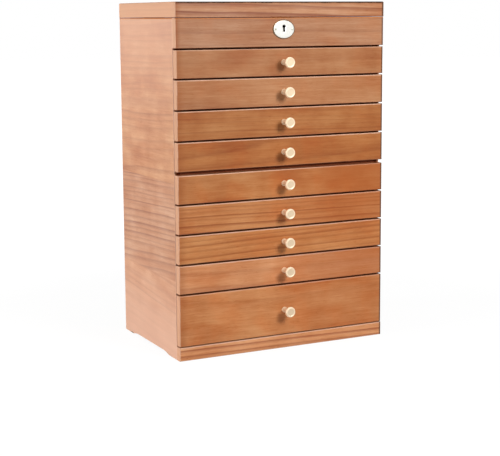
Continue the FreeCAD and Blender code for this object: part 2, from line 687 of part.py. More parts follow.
def hinge_upper_leaf(x):
    """The leaf under the lid, with the middle knuckle and its stop bar."""
    half = HINGE_LENGTH / 2 - KNUCKLE_LENGTH - BARREL_CLEARANCE
    z = LID_BOTTOM
    tab = board(x - half, x + half, BACK_Y, HINGE_Y, z, z + PLATE_THICKNESS)
    leaf = leaf_plate(x, z).fuse(tab).fuse(barrel_length(x - half, x + half, BARREL_RADIUS))
    leaf = leaf.fuse(stop_bar(x - half, x + half, STOP_ROOT, STOP_HALF_ANGLE))
    leaf = leaf.cut(barrel_length(x - half, x + half, PIN_RADIUS + PIN_RUNNING_CLEARANCE)).removeSplitter()
    screws = leaf_screws(x, z, z + SCREW_LENGTH)
    for screw in screws:
        leaf = leaf.cut(screw)
    return [leaf] + screws


def both_hinges(leaf):
    """The left and the right hinge's piece as one group."""
    return Part.makeCompound(leaf(-HINGE_OFFSET) + leaf(HINGE_OFFSET))


def hinge_pin(x):
    """The pin through one hinge's three knuckles."""
    half = HINGE_LENGTH / 2
    return [barrel_length(x - half, x + half, PIN_RADIUS)]


# Lid


def prism(corners, z0, z1):
    """A straight-sided piece from the outline of its plan, given as x, y corners."""
    points = [Vector(x, y, z0) for x, y in corners]
    return Part.Face(Part.makePolygon(points + points[:1])).extrude(Vector(0, 0, z1 - z0))


def mitred_pieces(x, y0, y1, width, z0, z1):
    """Four members of a rectangular frame that meet in mitres: front, back, left, right."""
    outer = [(-x, y0), (x, y0), (x, y1), (-x, y1)]
    inner_x = x - width
    inner_y0 = y0 + width
    inner_y1 = y1 - width
    inner = [(-inner_x, inner_y0), (inner_x, inner_y0), (inner_x, inner_y1), (-inner_x, inner_y1)]
    order = ((0, 1), (2, 3), (3, 0), (1, 2))
    return [prism([outer[a], outer[b], inner[b], inner[a]], z0, z1) for a, b in order]


def lid_panel():
    """The board that fills the lid's frame, with a tongue all round."""
    reach = LID_TONGUE_LENGTH
    field = board(
        -LID_INSIDE_X, LID_INSIDE_X, LID_FRONT_INSIDE_Y, LID_BACK_INSIDE_Y, LID_PANEL_BOTTOM, LID_PANEL_TOP
    )
    tongue_top = LID_PANEL_TOP - LID_TONGUE_DROP
    tongue = board(
        -LID_INSIDE_X - reach,
        LID_INSIDE_X + reach,
        LID_FRONT_INSIDE_Y - reach,
        LID_BACK_INSIDE_Y + reach,
        tongue_top - LID_TONGUE_THICKNESS,
        tongue_top,
    )
    return field.fuse(tongue).removeSplitter()


def lid_frame():
    """Four mitred members with rounded outer edges, cut for the panel, the hinges and the strike plate."""
    block = board(-HALF_WIDTH, HALF_WIDTH, FRONT_Y, BACK_Y, LID_BOTTOM, CHEST_HEIGHT)
    block = block.makeFillet(LID_EDGE_ROUND, edges_on(block, Z=CHEST_HEIGHT))
    cutters = [lid_panel(), *strike_plate().Solids]
    for side in (-1, 1):
        x = side * HINGE_OFFSET
        cutters += [leaf_plate(x, LID_BOTTOM), *leaf_screws(x, LID_BOTTOM, LID_BOTTOM + SCREW_LENGTH)]
    members = []
    for member in mitred_pieces(HALF_WIDTH, FRONT_Y, BACK_Y, LID_MEMBER_WIDTH, LID_BOTTOM, CHEST_HEIGHT):
        member = member.common(block)
        for cutter in cutters:
            member = member.cut(cutter)
        members.append(member)
    return Part.makeCompound(members)


def lid_mirror():
    """A plain glass mirror under the lid panel."""
    x = LID_INSIDE_X - MIRROR_MARGIN
    y0 = LID_FRONT_INSIDE_Y + MIRROR_MARGIN
    y1 = LID_BACK_INSIDE_Y - MIRROR_MARGIN
    return board(-x, x, y0, y1, LID_PANEL_BOTTOM - MIRROR_THICKNESS, LID_PANEL_BOTTOM)


def mirror_surround():
    """Four padded strips, mitred, that hold the mirror's edges against the panel."""
    top = LID_PANEL_BOTTOM - MIRROR_THICKNESS
    bottom = top - SURROUND_THICKNESS
    strips = mitred_pieces(LID_INSIDE_X, LID_FRONT_INSIDE_Y, LID_BACK_INSIDE_Y, SURROUND_WIDTH, bottom, top)
    return Part.makeCompound(strips)


def chest_pieces():
    """Every piece of the chest under its own name."""
    pieces = {
        "side_panel_right": side_panel(),
        "side_panel_left": mirrored(side_panel()),
        "back_panel": back_panel(),
        "lock_rail": lock_rail(),
        "back_rail": back_rail(),
        "base_board": base_board(),
        "plinth_rails": plinth_rails(),
        "mid_shelf": mid_shelf(),
        "tray_floor": tray_floor(),
        "drawer_runners": drawer_runners(),
        "tray_lining": tray_lining(),
        "tray_dividers": tray_dividers(),
        "escutcheon_plate": escutcheon_plate(),
        "escutcheon_screws": escutcheon_screws(),
        "lock_case": lock_case(),
        "lock_bolt": lock_bolt(),
        "strike_plate": strike_plate(),
        "hinge_lower_leaves": both_hinges(hinge_lower_leaf),
        "hinge_upper_leaves": both_hinges(hinge_upper_leaf),
        "hinge_pins": both_hinges(hinge_pin),
        "lid_frame": lid_frame(),
        "lid_panel": lid_panel(),
        "lid_mirror": lid_mirror(),
        "mirror_surround": mirror_surround(),
    }
    for number in range(1, DRAWER_COUNT + 1):
        pieces[f"drawer_{number}_front"] = drawer_front(number)
        pieces[f"drawer_{number}_box"] = drawer_box(number)
        pieces[f"drawer_{number}_lining"] = drawer_lining(number)
        pieces[f"drawer_{number}_knob"] = drawer_knob(number)
    return pieces


def main():
    """Build every piece and write it to its own file."""
    os.makedirs("parts", exist_ok=True)
    for name, shape in chest_pieces().items():
        shape.exportStep(f"parts/{name}.step")
        print(name, len(shape.Solids), round(shape.Volume), shape.isValid())


if __name__ == "__main__":
    main()
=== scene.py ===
import math

import bpy
import numpy as np
from bpy.props import FloatProperty, FloatVectorProperty, PointerProperty
from bpy.types import Operator, Panel, PropertyGroup
from mathutils import Matrix, Vector


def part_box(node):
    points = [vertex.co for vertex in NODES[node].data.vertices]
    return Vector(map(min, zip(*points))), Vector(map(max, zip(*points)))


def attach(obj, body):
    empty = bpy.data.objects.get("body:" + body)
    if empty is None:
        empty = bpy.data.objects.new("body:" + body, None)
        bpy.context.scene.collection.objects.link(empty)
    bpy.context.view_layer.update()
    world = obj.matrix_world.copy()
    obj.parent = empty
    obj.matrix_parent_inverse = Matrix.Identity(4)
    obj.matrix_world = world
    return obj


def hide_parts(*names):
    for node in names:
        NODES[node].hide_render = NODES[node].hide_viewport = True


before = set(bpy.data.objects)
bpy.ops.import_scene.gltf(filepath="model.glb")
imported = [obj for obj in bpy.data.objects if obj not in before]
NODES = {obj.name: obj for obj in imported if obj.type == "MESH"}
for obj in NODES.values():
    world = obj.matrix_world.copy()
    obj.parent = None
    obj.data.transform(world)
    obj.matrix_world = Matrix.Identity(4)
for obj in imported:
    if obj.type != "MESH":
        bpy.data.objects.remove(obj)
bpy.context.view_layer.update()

bl_info = {
    "name": "Jewellery drawer chest",
    "version": (1, 0, 0),
    "blender": (4, 5, 0),
    "location": "3D View > Sidebar > Chest",
    "description": "Finishes a jewellery chest: stained boards, turned knobs, linings and a mirror",
    "category": "Object",
}

MM = 0.001
DRAWERS = range(1, 10)
DIVIDED_DRAWERS = (1, 2)

# Sizes in metres
HALF_WIDTH = 0.159
PLINTH_HEIGHT = 0.0186
GLUE_LINES = (0.240, 0.108)
BOX_SIDE = 0.009
PAD_THICKNESS = 0.0016
LINER_THICKNESS = 0.0012
LINER_INTO_PAD = 0.0004
SLAT_THICKNESS = 0.003
SLAT_BELOW_RIM = 0.003
SURROUND_WIDTH = 0.020
PAD_ROUND = 0.001
LINER_ROUND = 0.00055
SLAT_ROUND = 0.0013
SURROUND_ROUND = 0.0014
PANE_ROUND = 0.0004
SCREW_FROM_MIDDLE = 0.013

# Sizes in millimetres: the width of a front board's pale edge, partly wear and partly painted highlight, and
# the escutcheon's screws
FRONT_EDGE = 1.4
SCREW_HEAD_RADIUS = 1.4


class ChestWoodSettings(PropertyGroup):
    """Stain, grain and lacquer of the boards."""

    early_wood: FloatVectorProperty(
        name="Early wood",
        description="Stained colour of the soft wood between the growth rings",
        subtype="COLOR", size=3, min=0.0, max=1.0, default=(0.485, 0.188, 0.060),
    )
    late_wood: FloatVectorProperty(
        name="Late wood",
        description="Stained colour of the dark line that ends each growth ring",
        subtype="COLOR", size=3, min=0.0, max=1.0, default=(0.20, 0.034, 0.006),
    )
    bare_wood: FloatVectorProperty(
        name="Inner wood",
        description="Colour of the unstained pine inside the case",
        subtype="COLOR", size=3, min=0.0, max=1.0, default=(0.66, 0.44, 0.25),
    )
    bare_late_wood: FloatVectorProperty(
        name="Inner late wood",
        description="Colour of the growth lines in the unstained pine",
        subtype="COLOR", size=3, min=0.0, max=1.0, default=(0.47, 0.27, 0.12),
    )
    # Worn edges, and on the upper edges of the fronts, rail and plinth also a painted highlight where the light
    # above catches them
    arris: FloatVectorProperty(
        name="Arris",
        description="Colour where the stain is rubbed thin along an edge",
        subtype="COLOR", size=3, min=0.0, max=1.0, default=(0.76, 0.46, 0.32),
    )
    # Painted sheen: a pale tone put on the sides low down and near the top, standing in for the glancing
    # reflection of the bright room
    bleached: FloatVectorProperty(
        name="Bleached wood",
        description="Pale tone of the sides, where the stain has faded",
        subtype="COLOR", size=3, min=0.0, max=1.0, default=(0.76, 0.47, 0.345),
    )
    end_grain: FloatVectorProperty(
        name="End grain",
        description="Tone of the boards' sawn ends",
        subtype="COLOR", size=3, min=0.0, max=1.0, default=(0.67, 0.385, 0.25),
    )
    rim: FloatVectorProperty(
        name="Rim",
        description="Orange tone of the edges that meet under the lid",
        subtype="COLOR", size=3, min=0.0, max=1.0, default=(0.60, 0.22, 0.07),
    )
    # Painted shade: this dark colour is put where the case lies in shade: in the gaps between the fronts, on
    # the faces behind them, on the side panels' front edges and in the seam under the lid
    pooled: FloatVectorProperty(
        name="Pooled stain",
        description="Dark colour where stain has pooled, in the gaps and on the shelf edge",
        subtype="COLOR", size=3, min=0.0, max=1.0, default=(0.17, 0.034, 0.008),
    )
    # Painted shade: this dull brown goes on the right-hand corners of the fronts, rail, plinth and lid, which
    # turn away from the light
    smoked: FloatVectorProperty(
        name="Darkened corner",
        description="Dull brown of the corners that get the most handling",
        subtype="COLOR", size=3, min=0.0, max=1.0, default=(0.12, 0.055, 0.032),
    )
    ring_spacing: FloatProperty(
        name="Ring spacing",
        description="Usual distance between two growth rings",
        unit="LENGTH", min=0.001, max=0.03, default=0.0055,
    )
    gloss: FloatProperty(
        name="Lacquer",
        description="How much of the satin lacquer shows as gloss",
        subtype="FACTOR", min=0.0, max=1.0, default=0.05,
    )


class ChestMetalSettings(PropertyGroup):
    """Brass of the knobs, plate, hinges and lock."""

    brass: FloatVectorProperty(
        name="Brass",
        description="Colour of the pale brass",
        subtype="COLOR", size=3, min=0.0, max=1.0, default=(0.93, 0.78, 0.52),
    )
    knob: FloatVectorProperty(
        name="Knob",
        description="Colour of the satin knobs",
        subtype="COLOR", size=3, min=0.0, max=1.0, default=(0.93, 0.74, 0.52),
    )
    knob_face: FloatVectorProperty(
        name="Knob face",
        description="Duller colour of the flat face of a knob",
        subtype="COLOR", size=3, min=0.0, max=1.0, default=(0.72, 0.56, 0.38),
    )
    # Painted reflection: this dark colour on the keyhole plate's bevel stands in for the dark wood and room
    # that the bevel reflects
    bevel: FloatVectorProperty(
        name="Bevel",
        description="Tarnished brass on the bevel of the keyhole plate",
        subtype="COLOR", size=3, min=0.0, max=1.0, default=(0.20, 0.13, 0.075),
    )
    plate: FloatVectorProperty(
        name="Escutcheon",
        description="Colour of the keyhole plate",
        subtype="COLOR", size=3, min=0.0, max=1.0, default=(0.77, 0.765, 0.715),
    )


class ChestLiningSettings(PropertyGroup):
    """Velvet of the drawers and the tray."""

    velvet: FloatVectorProperty(
        name="Velvet",
        description="Colour of the velvet",
        subtype="COLOR", size=3, min=0.0, max=1.0, default=(0.055, 0.043, 0.04),
    )
    crown: FloatProperty(
        name="Pad crown",
        description="How far a floor pad swells above its edges",
        unit="LENGTH", min=0.0, max=0.002, default=0.0004,
    )


class ChestStudioSettings(PropertyGroup):
    """Camera and lamps."""

    lens: FloatProperty(
        name="Lens",
        description="Focal length on a 36 mm sensor, in millimetres",
        min=10.0, max=300.0, default=89.39,
    )
    key: FloatProperty(
        name="Key lamp",
        description="Share of full brightness that the key lamp gives a surface that faces it",
        subtype="FACTOR", min=0.0, max=2.0, default=0.68,
    )
    side: FloatProperty(
        name="Side lamp",
        description="The same for the large lamp on the left",
        subtype="FACTOR", min=0.0, max=2.0, default=0.84,
    )
    top: FloatProperty(
        name="Top lamp",
        description="The same for the lamp overhead",
        subtype="FACTOR", min=0.0, max=2.0, default=0.40,
    )
    room: FloatProperty(
        name="Room light",
        description="Brightness of the light from all round",
        subtype="FACTOR", min=0.0, max=2.0, default=0.08,
    )


# Shader trees


class Tree:
    """One shader tree. Every method adds a node and returns its output socket."""

    def __init__(self, tree):
        self.tree = tree

    def node(self, kind, *values, **settings):
        """A node with its settings, and its first inputs fed in order with sockets or constants."""
        made = self.tree.nodes.new(kind)
        for name, value in settings.items():
            setattr(made, name, value)
        for socket, value in zip(made.inputs, values):
            self.feed(socket, value)
        return made

    def feed(self, socket, value):
        if isinstance(value, bpy.types.NodeSocket):
            self.tree.links.new(value, socket)
        elif value is not None:
            socket.default_value = value

    def math(self, operation, *values):
        return self.node("ShaderNodeMath", *values, operation=operation).outputs[0]

    def clamped(self, operation, *values):
        return self.node("ShaderNodeMath", *values, operation=operation, use_clamp=True).outputs[0]

    def vector(self, operation, *values):
        made = self.node("ShaderNodeVectorMath", *values, operation=operation)
        return made.outputs["Value" if operation in ("DOT_PRODUCT", "LENGTH") else "Vector"]

    def scaled(self, vector, factor):
        made = self.node("ShaderNodeVectorMath", vector, operation="SCALE")
        self.feed(made.inputs["Scale"], factor)
        return made.outputs["Vector"]

    def split(self, vector):
        return self.node("ShaderNodeSeparateXYZ", vector).outputs

    def between(self, factor, first, second):
        """From the first number to the second as factor goes from 0 to 1."""
        return self.node("ShaderNodeMix", factor, None, first, second, data_type="FLOAT").outputs[0]

    def joined(self, x, y, z):
        return self.node("ShaderNodeCombineXYZ", x, y, z).outputs[0]

    def swing(self, vector, lengths, detail=2.0):
        """Noise from -1 to 1 whose waves are about as long as the three lengths."""
        stretched = self.vector("MULTIPLY", vector, tuple(1 / length for length in lengths))
        made = self.node("ShaderNodeTexNoise", noise_dimensions="3D")
        self.feed(made.inputs["Vector"], stretched)
        self.feed(made.inputs["Scale"], 1.0)
        self.feed(made.inputs["Detail"], detail)
        return self.math("MULTIPLY_ADD", made.outputs[0], 2.0, -1.0)

    def ease(self, value, low, high, to_low=0.0, to_high=1.0):
        """A smooth step from to_low at low to to_high at high."""
        made = self.node("ShaderNodeMapRange", value, low, high, to_low, to_high)
        made.interpolation_type = "SMOOTHSTEP"
        return made.outputs[0]

    def ramp(self, factor, stops):
        made = self.node("ShaderNodeValToRGB", factor)
        band = made.color_ramp
        band.interpolation = "EASE"
        while len(band.elements) < len(stops):
            band.elements.new(1.0)
        for element, (position, colour) in zip(band.elements, stops):
            element.position = position
            element.color = colour
        return made.outputs[0]

    def blend(self, factor, first, second):
        """From the first colour to the second as factor goes from 0 to 1."""
        made = self.tree.nodes.new("ShaderNodeMix")
        made.data_type = "RGBA"
        self.feed(made.inputs[0], factor)
        self.feed(made.inputs[6], first)
        self.feed(made.inputs[7], second)
        return made.outputs[2]

    def group(self, tree, *values):
        made = self.tree.nodes.new("ShaderNodeGroup")
        made.node_tree = tree
        for socket, value in zip(made.inputs, values):
            self.feed(socket, value)
        return made.outputs

    def relief(self, shader, height, strength, distance):
        """Bump on a shader: its surface rises by distance, in metres, where height goes up by 1."""
        bump = self.node("ShaderNodeBump")
        self.feed(bump.inputs["Strength"], strength)
        self.feed(bump.inputs["Distance"], distance)
        self.feed(bump.inputs["Height"], height)
        self.feed(shader.inputs["Normal"], bump.outputs[0])


def opaque(colour):
    return (*colour, 1.0)


def grey(level):
    return (level, level, level, 1.0)


def new_group(name, inputs, outputs):
    """An empty node group with the named sockets, as the group, its Tree, its inputs and its outputs node."""
    group = bpy.data.node_groups.new(name, "ShaderNodeTree")
    for socket, kind in inputs:
        group.interface.new_socket(socket, in_out="INPUT", socket_type=kind)
    for socket, kind in outputs:
        group.interface.new_socket(socket, in_out="OUTPUT", socket_type=kind)
    entry = group.nodes.new("NodeGroupInput").outputs
    leave = group.nodes.new("NodeGroupOutput").inputs
    return group, Tree(group), entry, leave


def new_material(name):
    """An empty material, as the material, its Tree and its Principled shader."""
    material = bpy.data.materials.new(name)
    material.use_nodes = True
    tree = Tree(material.node_tree)
    return material, tree, material.node_tree.nodes["Principled BSDF"]


def object_position(tree):
    return tree.node("ShaderNodeTexCoord").outputs["Object"]


FLOAT = "NodeSocketFloat"
VECTOR = "NodeSocketVector"


def growth_rings():
    """Pine figure at a point given in mm, with the pith along X through the origin.

    Distance from the pith, bent by long slow noise, over the ring spacing gives the year and how far through
    the year the point is. Darkness climbs through the year and drops at its end, and each year has its own
    strength. The other outputs are noise of growing length: flecks, fibres, ducts, streaks, bands and blots.
    """
    kinds = [("Position", VECTOR), ("Spacing", FLOAT), ("Wave", FLOAT)]
    figures = ("Ring", "Fibre", "Streak", "Duct", "Stain", "Band", "Fleck")
    group, tree, entry, leave = new_group("growth_rings", kinds, [(figure, FLOAT) for figure in figures])
    position, spacing, wave = entry[0], entry[1], entry[2]
    across = tree.vector("LENGTH", tree.vector("MULTIPLY", position, (0.0, 1.0, 1.0)))
    slow = tree.swing(position, (260.0, 75.0, 75.0), 1.0)
    quick = tree.swing(position, (70.0, 11.0, 11.0), 2.0)
    bend = tree.math("MULTIPLY", tree.math("MULTIPLY_ADD", quick, 0.16, slow), wave)
    years = tree.math("DIVIDE", tree.math("ADD", across, bend), spacing)
    uneven = tree.node("ShaderNodeTexNoise", noise_dimensions="1D")
    tree.feed(uneven.inputs["W"], tree.math("MULTIPLY", years, 0.31))
    tree.feed(uneven.inputs["Scale"], 1.0)
    tree.feed(uneven.inputs["Detail"], 1.0)
    years = tree.math("MULTIPLY_ADD", uneven.outputs[0], 2.2, years)
    through = tree.math("FRACT", years)
    strength = tree.node("ShaderNodeTexWhiteNoise", noise_dimensions="1D")
    tree.feed(strength.inputs["W"], tree.math("FLOOR", years))
    darkness = tree.ramp(through, [
        (0.0, grey(0.35)), (0.14, grey(0.04)), (0.45, grey(0.10)),
        (0.76, grey(0.62)), (0.88, grey(1.0)), (0.95, grey(0.85)), (1.0, grey(0.35))])
    level = tree.math("MULTIPLY_ADD", strength.outputs["Value"], 0.65, 0.35)
    tree.feed(leave["Ring"], tree.math("MULTIPLY", darkness, level))
    tree.feed(leave["Fibre"], tree.swing(position, (16.0, 0.5, 0.5), 3.0))
    tree.feed(leave["Streak"], tree.swing(position, (55.0, 2.2, 2.2), 3.0))
    duct = tree.swing(position, (7.0, 0.55, 0.55), 0.0)
    tree.feed(leave["Duct"], tree.ease(duct, 0.44, 0.60))
    tree.feed(leave["Stain"], tree.swing(position, (85.0, 26.0, 26.0), 3.0))
    tree.feed(leave["Band"], tree.swing(position, (32.0, 60.0, 60.0), 2.0))
    tree.feed(leave["Fleck"], tree.swing(position, (8.0, 1.4, 1.4), 2.0))
    return group


def board_edges():
    """Distance in mm from a point on a squared board to its nearest edge.

    The distances to the three nearest faces are the half sizes less |point - centre|. The largest of them is
    left out, and the other two are the legs of a right triangle whose long side is the distance to the edge.
    """
    kinds = [("Position", VECTOR), ("Centre", VECTOR), ("Half size", VECTOR)]
    group, tree, entry, leave = new_group("board_edges", kinds, [("Distance", FLOAT)])
    inside = tree.vector("ABSOLUTE", tree.vector("SUBTRACT", entry[0], entry[1]))
    depth = tree.vector("MAXIMUM", tree.vector("SUBTRACT", entry[2], inside), (0.0, 0.0, 0.0))
    parts = tree.split(depth)
    largest = tree.math("MAXIMUM", tree.math("MAXIMUM", parts[0], parts[1]), parts[2])
    square = tree.vector("DOT_PRODUCT", depth, depth)
    rest = tree.math("MAXIMUM", tree.math("SUBTRACT", square, tree.math("MULTIPLY", largest, largest)), 0.0)
    tree.feed(leave["Distance"], tree.math("MULTIPLY", tree.math("SQRT", rest), 1 / MM))
    return group


def shared_group(make):
    """A node group that is made once and then used by every material that needs it."""
    return bpy.data.node_groups.get(make.__name__) or make()


BARE_GLOSS = 0.1
GRAIN_TURNS = {"X": (0.0, 0.0, 0.0), "Y": (0.0, 0.0, math.pi / 2), "Z": (0.0, -math.pi / 2, 0.0)}


def grain_frame(tree, position, board):
    """The point in mm from the board's pith, turned so that X runs along the pith."""
    turn = Matrix.Identity(3)
    for angle, axis in zip(GRAIN_TURNS[board.grain], "XYZ"):
        turn = Matrix.Rotation(angle, 3, axis) @ turn
    sideways, upwards = (math.radians(angle) for angle in reversed(board.tilt))
    lean = Matrix.Rotation(sideways, 3, "Z") @ Matrix.Rotation(upwards, 3, "Y")
    made = tree.node("ShaderNodeMapping", vector_type="TEXTURE")
    offset = turn @ (Vector((0.0, *board.pith)) * MM)
    tree.feed(made.inputs["Vector"], position)
    tree.feed(made.inputs["Location"], tuple(board.centre() + offset))
    tree.feed(made.inputs["Rotation"], tuple((turn @ lean).to_euler("XYZ")))
    tree.feed(made.inputs["Scale"], (MM, MM, MM))
    return made.outputs[0]


class Board:
    """How one board was cut and how it took the stain.

    grain: axis that the fibres run along
    pith: how far the middle of the tree lies off the board's middle, across the fibres, in mm
    tilt: degrees by which the fibres lean
    along: how far the figure is moved along the fibres, in mm
    spacing: width of a year against the usual one
    contrast: strength of the dark line that ends a year
    wave: how far the rings wander, in mm
    depth, warmth, grey: see stain
    blotch, streak, red: strength of the stain's blots and bands, its long streaks and its redder patches
    wear: how far the edges are rubbed
    """

    def __init__(self, box, grain, pith, tilt, spacing=1.0, contrast=0.6, wave=3.0, depth=0.0, warmth=0.0,
                 grey=0.0, blotch=0.13, streak=0.19, red=0.45, along=0.0, wear=1.0):
        self.low, self.high = Vector(box[0]), Vector(box[1])
        self.grain, self.pith, self.tilt = grain, pith, tilt
        self.spacing, self.contrast, self.wave = spacing, contrast, wave
        self.depth, self.warmth, self.grey = depth, warmth, grey
        self.blotch, self.streak, self.red = blotch, streak, red
        self.along, self.wear = along, wear

    def centre(self):
        middle = (self.low + self.high) / 2
        middle["XYZ".index(self.grain)] += self.along * MM
        return middle


def stain(colour, depth, warmth, grey=0.0):
    """The colour made darker by depth, redder or yellower by warmth, and paler by grey."""
    level = 1.0 - depth
    warmer = (1.0, 1.0 - 0.30 * warmth, 1.0 - 0.62 * warmth)
    return tuple(part * level * share + grey for part, share in zip(colour, warmer))


def deepened(tree, level):
    """Stain that is stronger where level is low: powers of level, which take more out of green and blue."""
    return tree.joined(*(tree.math("POWER", level, power) for power in (0.8, 1.6, 2.4)))


def board_tone(tree, position, board, wood, early, late):
    """Tone, darkness of the rings and fibres of one board.

    The rings mix early into late wood, and patches turn redder. The stain's level is one plus the sum of each
    noise times its strength.
    """
    spacing = wood.ring_spacing / MM * board.spacing
    place = grain_frame(tree, position, board)
    figures = tree.group(shared_group(growth_rings), place, spacing, board.wave)
    ring, fibre, streak, duct, blot, band, fleck = figures
    dark = tree.clamped("MULTIPLY", ring, board.contrast)
    tone = tree.blend(dark, opaque(stain(early, board.depth, board.warmth, board.grey)),
                      opaque(stain(late, board.depth, board.warmth, board.grey * 0.25)))
    reddened = tree.vector("MULTIPLY", tone, (1.0, 0.78, 0.60))
    patches = tree.ease(tree.math("ADD", blot, band), -0.15, 0.55, 0.0, board.red)
    tone = tree.blend(patches, tone, reddened)
    level = 1.0
    strengths = ((fibre, 0.10), (streak, board.streak), (blot, -2.0 * board.blotch), (band, board.blotch),
                 (fleck, 0.08), (duct, -0.16))
    for noise, strength in strengths:
        level = tree.math("MULTIPLY_ADD", noise, strength, level)
    return tree.vector("MULTIPLY", tone, deepened(tree, level)), dark, fibre


def worn_edges(tree, position, boards, width):
    """How far the edges of the boards' common box are rubbed, over about width mm with an uneven border."""
    low = Vector([min(board.low[i] for board in boards) for i in range(3)])
    high = Vector([max(board.high[i] for board in boards) for i in range(3)])
    edges = shared_group(board_edges)
    distance = tree.group(edges, position, tuple((low + high) / 2), tuple((high - low) / 2))[0]
    rub = tree.swing(position, (0.014, 0.014, 0.014), 3.0)
    reach = tree.math("MULTIPLY_ADD", rub, 0.35 * width, distance)
    return tree.ease(reach, 0.35 * width, 1.2 * width, boards[0].wear, 0.0)


def finish_wood(name, boards, wood, bare=False, switch=None, edge_tint=None, edge_width=1.5, edge_level=None,
                overlays=None):
    """Lacquered pine, stained or bare.

    With several boards, switch gives the factors that pick the later ones, and edge_level says how much of
    the edge tint shows. overlays gives pairs of a factor and a colour that go over the finished tone in turn.
    All three are functions of the tree and the position.
    """
    material, tree, shader = new_material(name)
    position = object_position(tree)
    early, late = (wood.bare_wood, wood.bare_late_wood) if bare else (wood.early_wood, wood.late_wood)
    factors = switch(tree, position) if switch else []
    colour, dark, fibre = board_tone(tree, position, boards[0], wood, early, late)
    for factor, board in zip(factors, boards[1:]):
        tones = board_tone(tree, position, board, wood, early, late)
        colour = tree.blend(factor, colour, tones[0])
        dark = tree.between(factor, dark, tones[1])
        fibre = tree.between(factor, fibre, tones[2])
    # The edge tint is wear, and on the upper edges of the fronts, rail and plinth also a painted highlight
    # where the light above catches them; on the lid it is painted shade
    worn = worn_edges(tree, position, boards, edge_width)
    if edge_level:
        worn = tree.math("MULTIPLY", worn, edge_level(tree, position))
    colour = tree.blend(worn, colour, opaque(edge_tint or wood.arris))
    rough = tree.math("MULTIPLY_ADD", fibre, 0.05, 0.45)
    if edge_tint:
        rough = tree.between(worn, rough, 0.95)
    for factor, tint in overlays(tree, position) if overlays else ():
        colour = tree.blend(factor, colour, opaque(tint))
        rough = tree.between(factor, rough, 0.95)
    tree.feed(shader.inputs["Base Color"], colour)
    tree.feed(shader.inputs["Roughness"], rough)
    height = tree.math("MULTIPLY_ADD", dark, -0.6, tree.math("MULTIPLY", fibre, 0.5))
    tree.relief(shader, height, 0.25, 0.00012)
    shader.inputs["Specular IOR Level"].default_value = 0.18
    shader.inputs["Coat Weight"].default_value = BARE_GLOSS if bare else wood.gloss
    shader.inputs["Coat Roughness"].default_value = 0.28
    return material


def upper_edges(box, lower_share=0.3, upper_share=1.0):
    """Edge level of a front board: the upper edge, worn and with a painted highlight, full; the lower one less;
    the right end, in shade, none.
    """
    middle = (box[0].z + box[1].z) / 2
    end = box[1].x

    def level(tree, position):
        x, _, z = tree.split(position)
        return tree.math("MULTIPLY", tree.ease(x, end - 0.0030, end - 0.0016, 1.0, 0.0),
                         tree.ease(z, middle - 0.002, middle + 0.002, lower_share, upper_share))
    return level


def rim_shades(tree, position, height, wood, outside, dark=1.0):
    """The seam under the lid, on outer faces: a warm strip round its height, with a line of painted shade in
    it.
    """
    away = tree.math("ABSOLUTE", tree.math("SUBTRACT", tree.split(position)[2], height))
    warm = tree.math("MULTIPLY", outside, tree.ease(away, 0.0010, 0.0018, 1.0, 0.0))
    line = tree.math("MULTIPLY", outside, tree.ease(away, 0.0004, 0.0008, dark, 0.0))
    return [(warm, wood.rim), (line, wood.pooled)]


def coat_node(node, material):
    """Gives a CAD node its finish and the name of its material slot."""
    piece = NODES[node]
    piece.data.materials.clear()
    piece.data.materials.append(material)


# Meshes from numpy grids

LATHE_SIDES = 72


def grid_faces(rows, columns, wrap_rows, wrap_columns):
    """Four corners of every cell of a grid whose points are numbered row by row."""
    i = np.arange(rows if wrap_rows else rows - 1)
    j = np.arange(columns if wrap_columns else columns - 1)
    row, column = np.meshgrid(i, j, indexing="ij")
    below, beside = (row + 1) % rows * columns, (column + 1) % columns
    row = row * columns
    return np.stack([row + column, row + beside, below + beside, below + column], -1).reshape(-1, 4)


def grid_piece(name, grid, wrap_rows=False, uv=None, sharp=35.0):
    """A closed piece from a grid of points that wraps round its columns, with flat faces over its end rows.

    The signed volume, the sum of a . (b x c) over fans of the faces, tells whether the faces point outwards.
    """
    rows, columns = grid.shape[:2]
    points = grid.reshape(-1, 3)
    faces = grid_faces(rows, columns, wrap_rows, True).tolist()
    if not wrap_rows:
        last = (rows - 1) * columns
        faces += [list(range(columns))[::-1], list(range(last, last + columns))]
    quads = np.array([face for face in faces if len(face) == 4])
    a, b, c, d = (points[quads[:, k]] - points.mean(0) for k in range(4))
    volume = np.einsum("ij,ij->", a, np.cross(b, c)) + np.einsum("ij,ij->", a, np.cross(c, d))
    if volume < 0:
        faces = [face[::-1] for face in faces]
    mesh = bpy.data.meshes.new(name)
    mesh.from_pydata(points.tolist(), [], faces)
    if uv is not None:
        layer = mesh.uv_layers.new(name="UVMap")
        corners = np.zeros(len(mesh.loops), np.int32)
        mesh.loops.foreach_get("vertex_index", corners)
        layer.data.foreach_set("uv", uv.reshape(-1, 2)[corners].astype(np.float32).ravel())
    mesh.validate()
    mesh.shade_smooth()
    mesh.set_sharp_from_angle(angle=math.radians(sharp))
    piece = bpy.data.objects.new(name, mesh)
    bpy.context.scene.collection.objects.link(piece)
    return piece


def arc(start, end, bulge, count):
    """Points of a circular arc from start to end, less the last. Its middle stands bulge off the chord."""
    a, b = np.array(start, float), np.array(end, float)
    chord = b - a
    length = np.hypot(*chord)
    along = chord / length
    out = np.array([along[1], -along[0]])
    radius = (length**2 / 4 + bulge**2) / (2 * bulge)
    half = math.asin(length / 2 / radius)
    angle = np.linspace(-half, half, count + 1)[:-1, None]
    centre = (a + b) / 2 + out * (bulge - radius)
    return centre + radius * (out * np.cos(angle) + along * np.sin(angle))


def outline_passed(outline):
    """Length of outline passed at each of its points: the sum of the steps before it."""
    return np.concatenate([[0], np.cumsum(np.hypot(*np.diff(outline, axis=0).T))]).tolist()


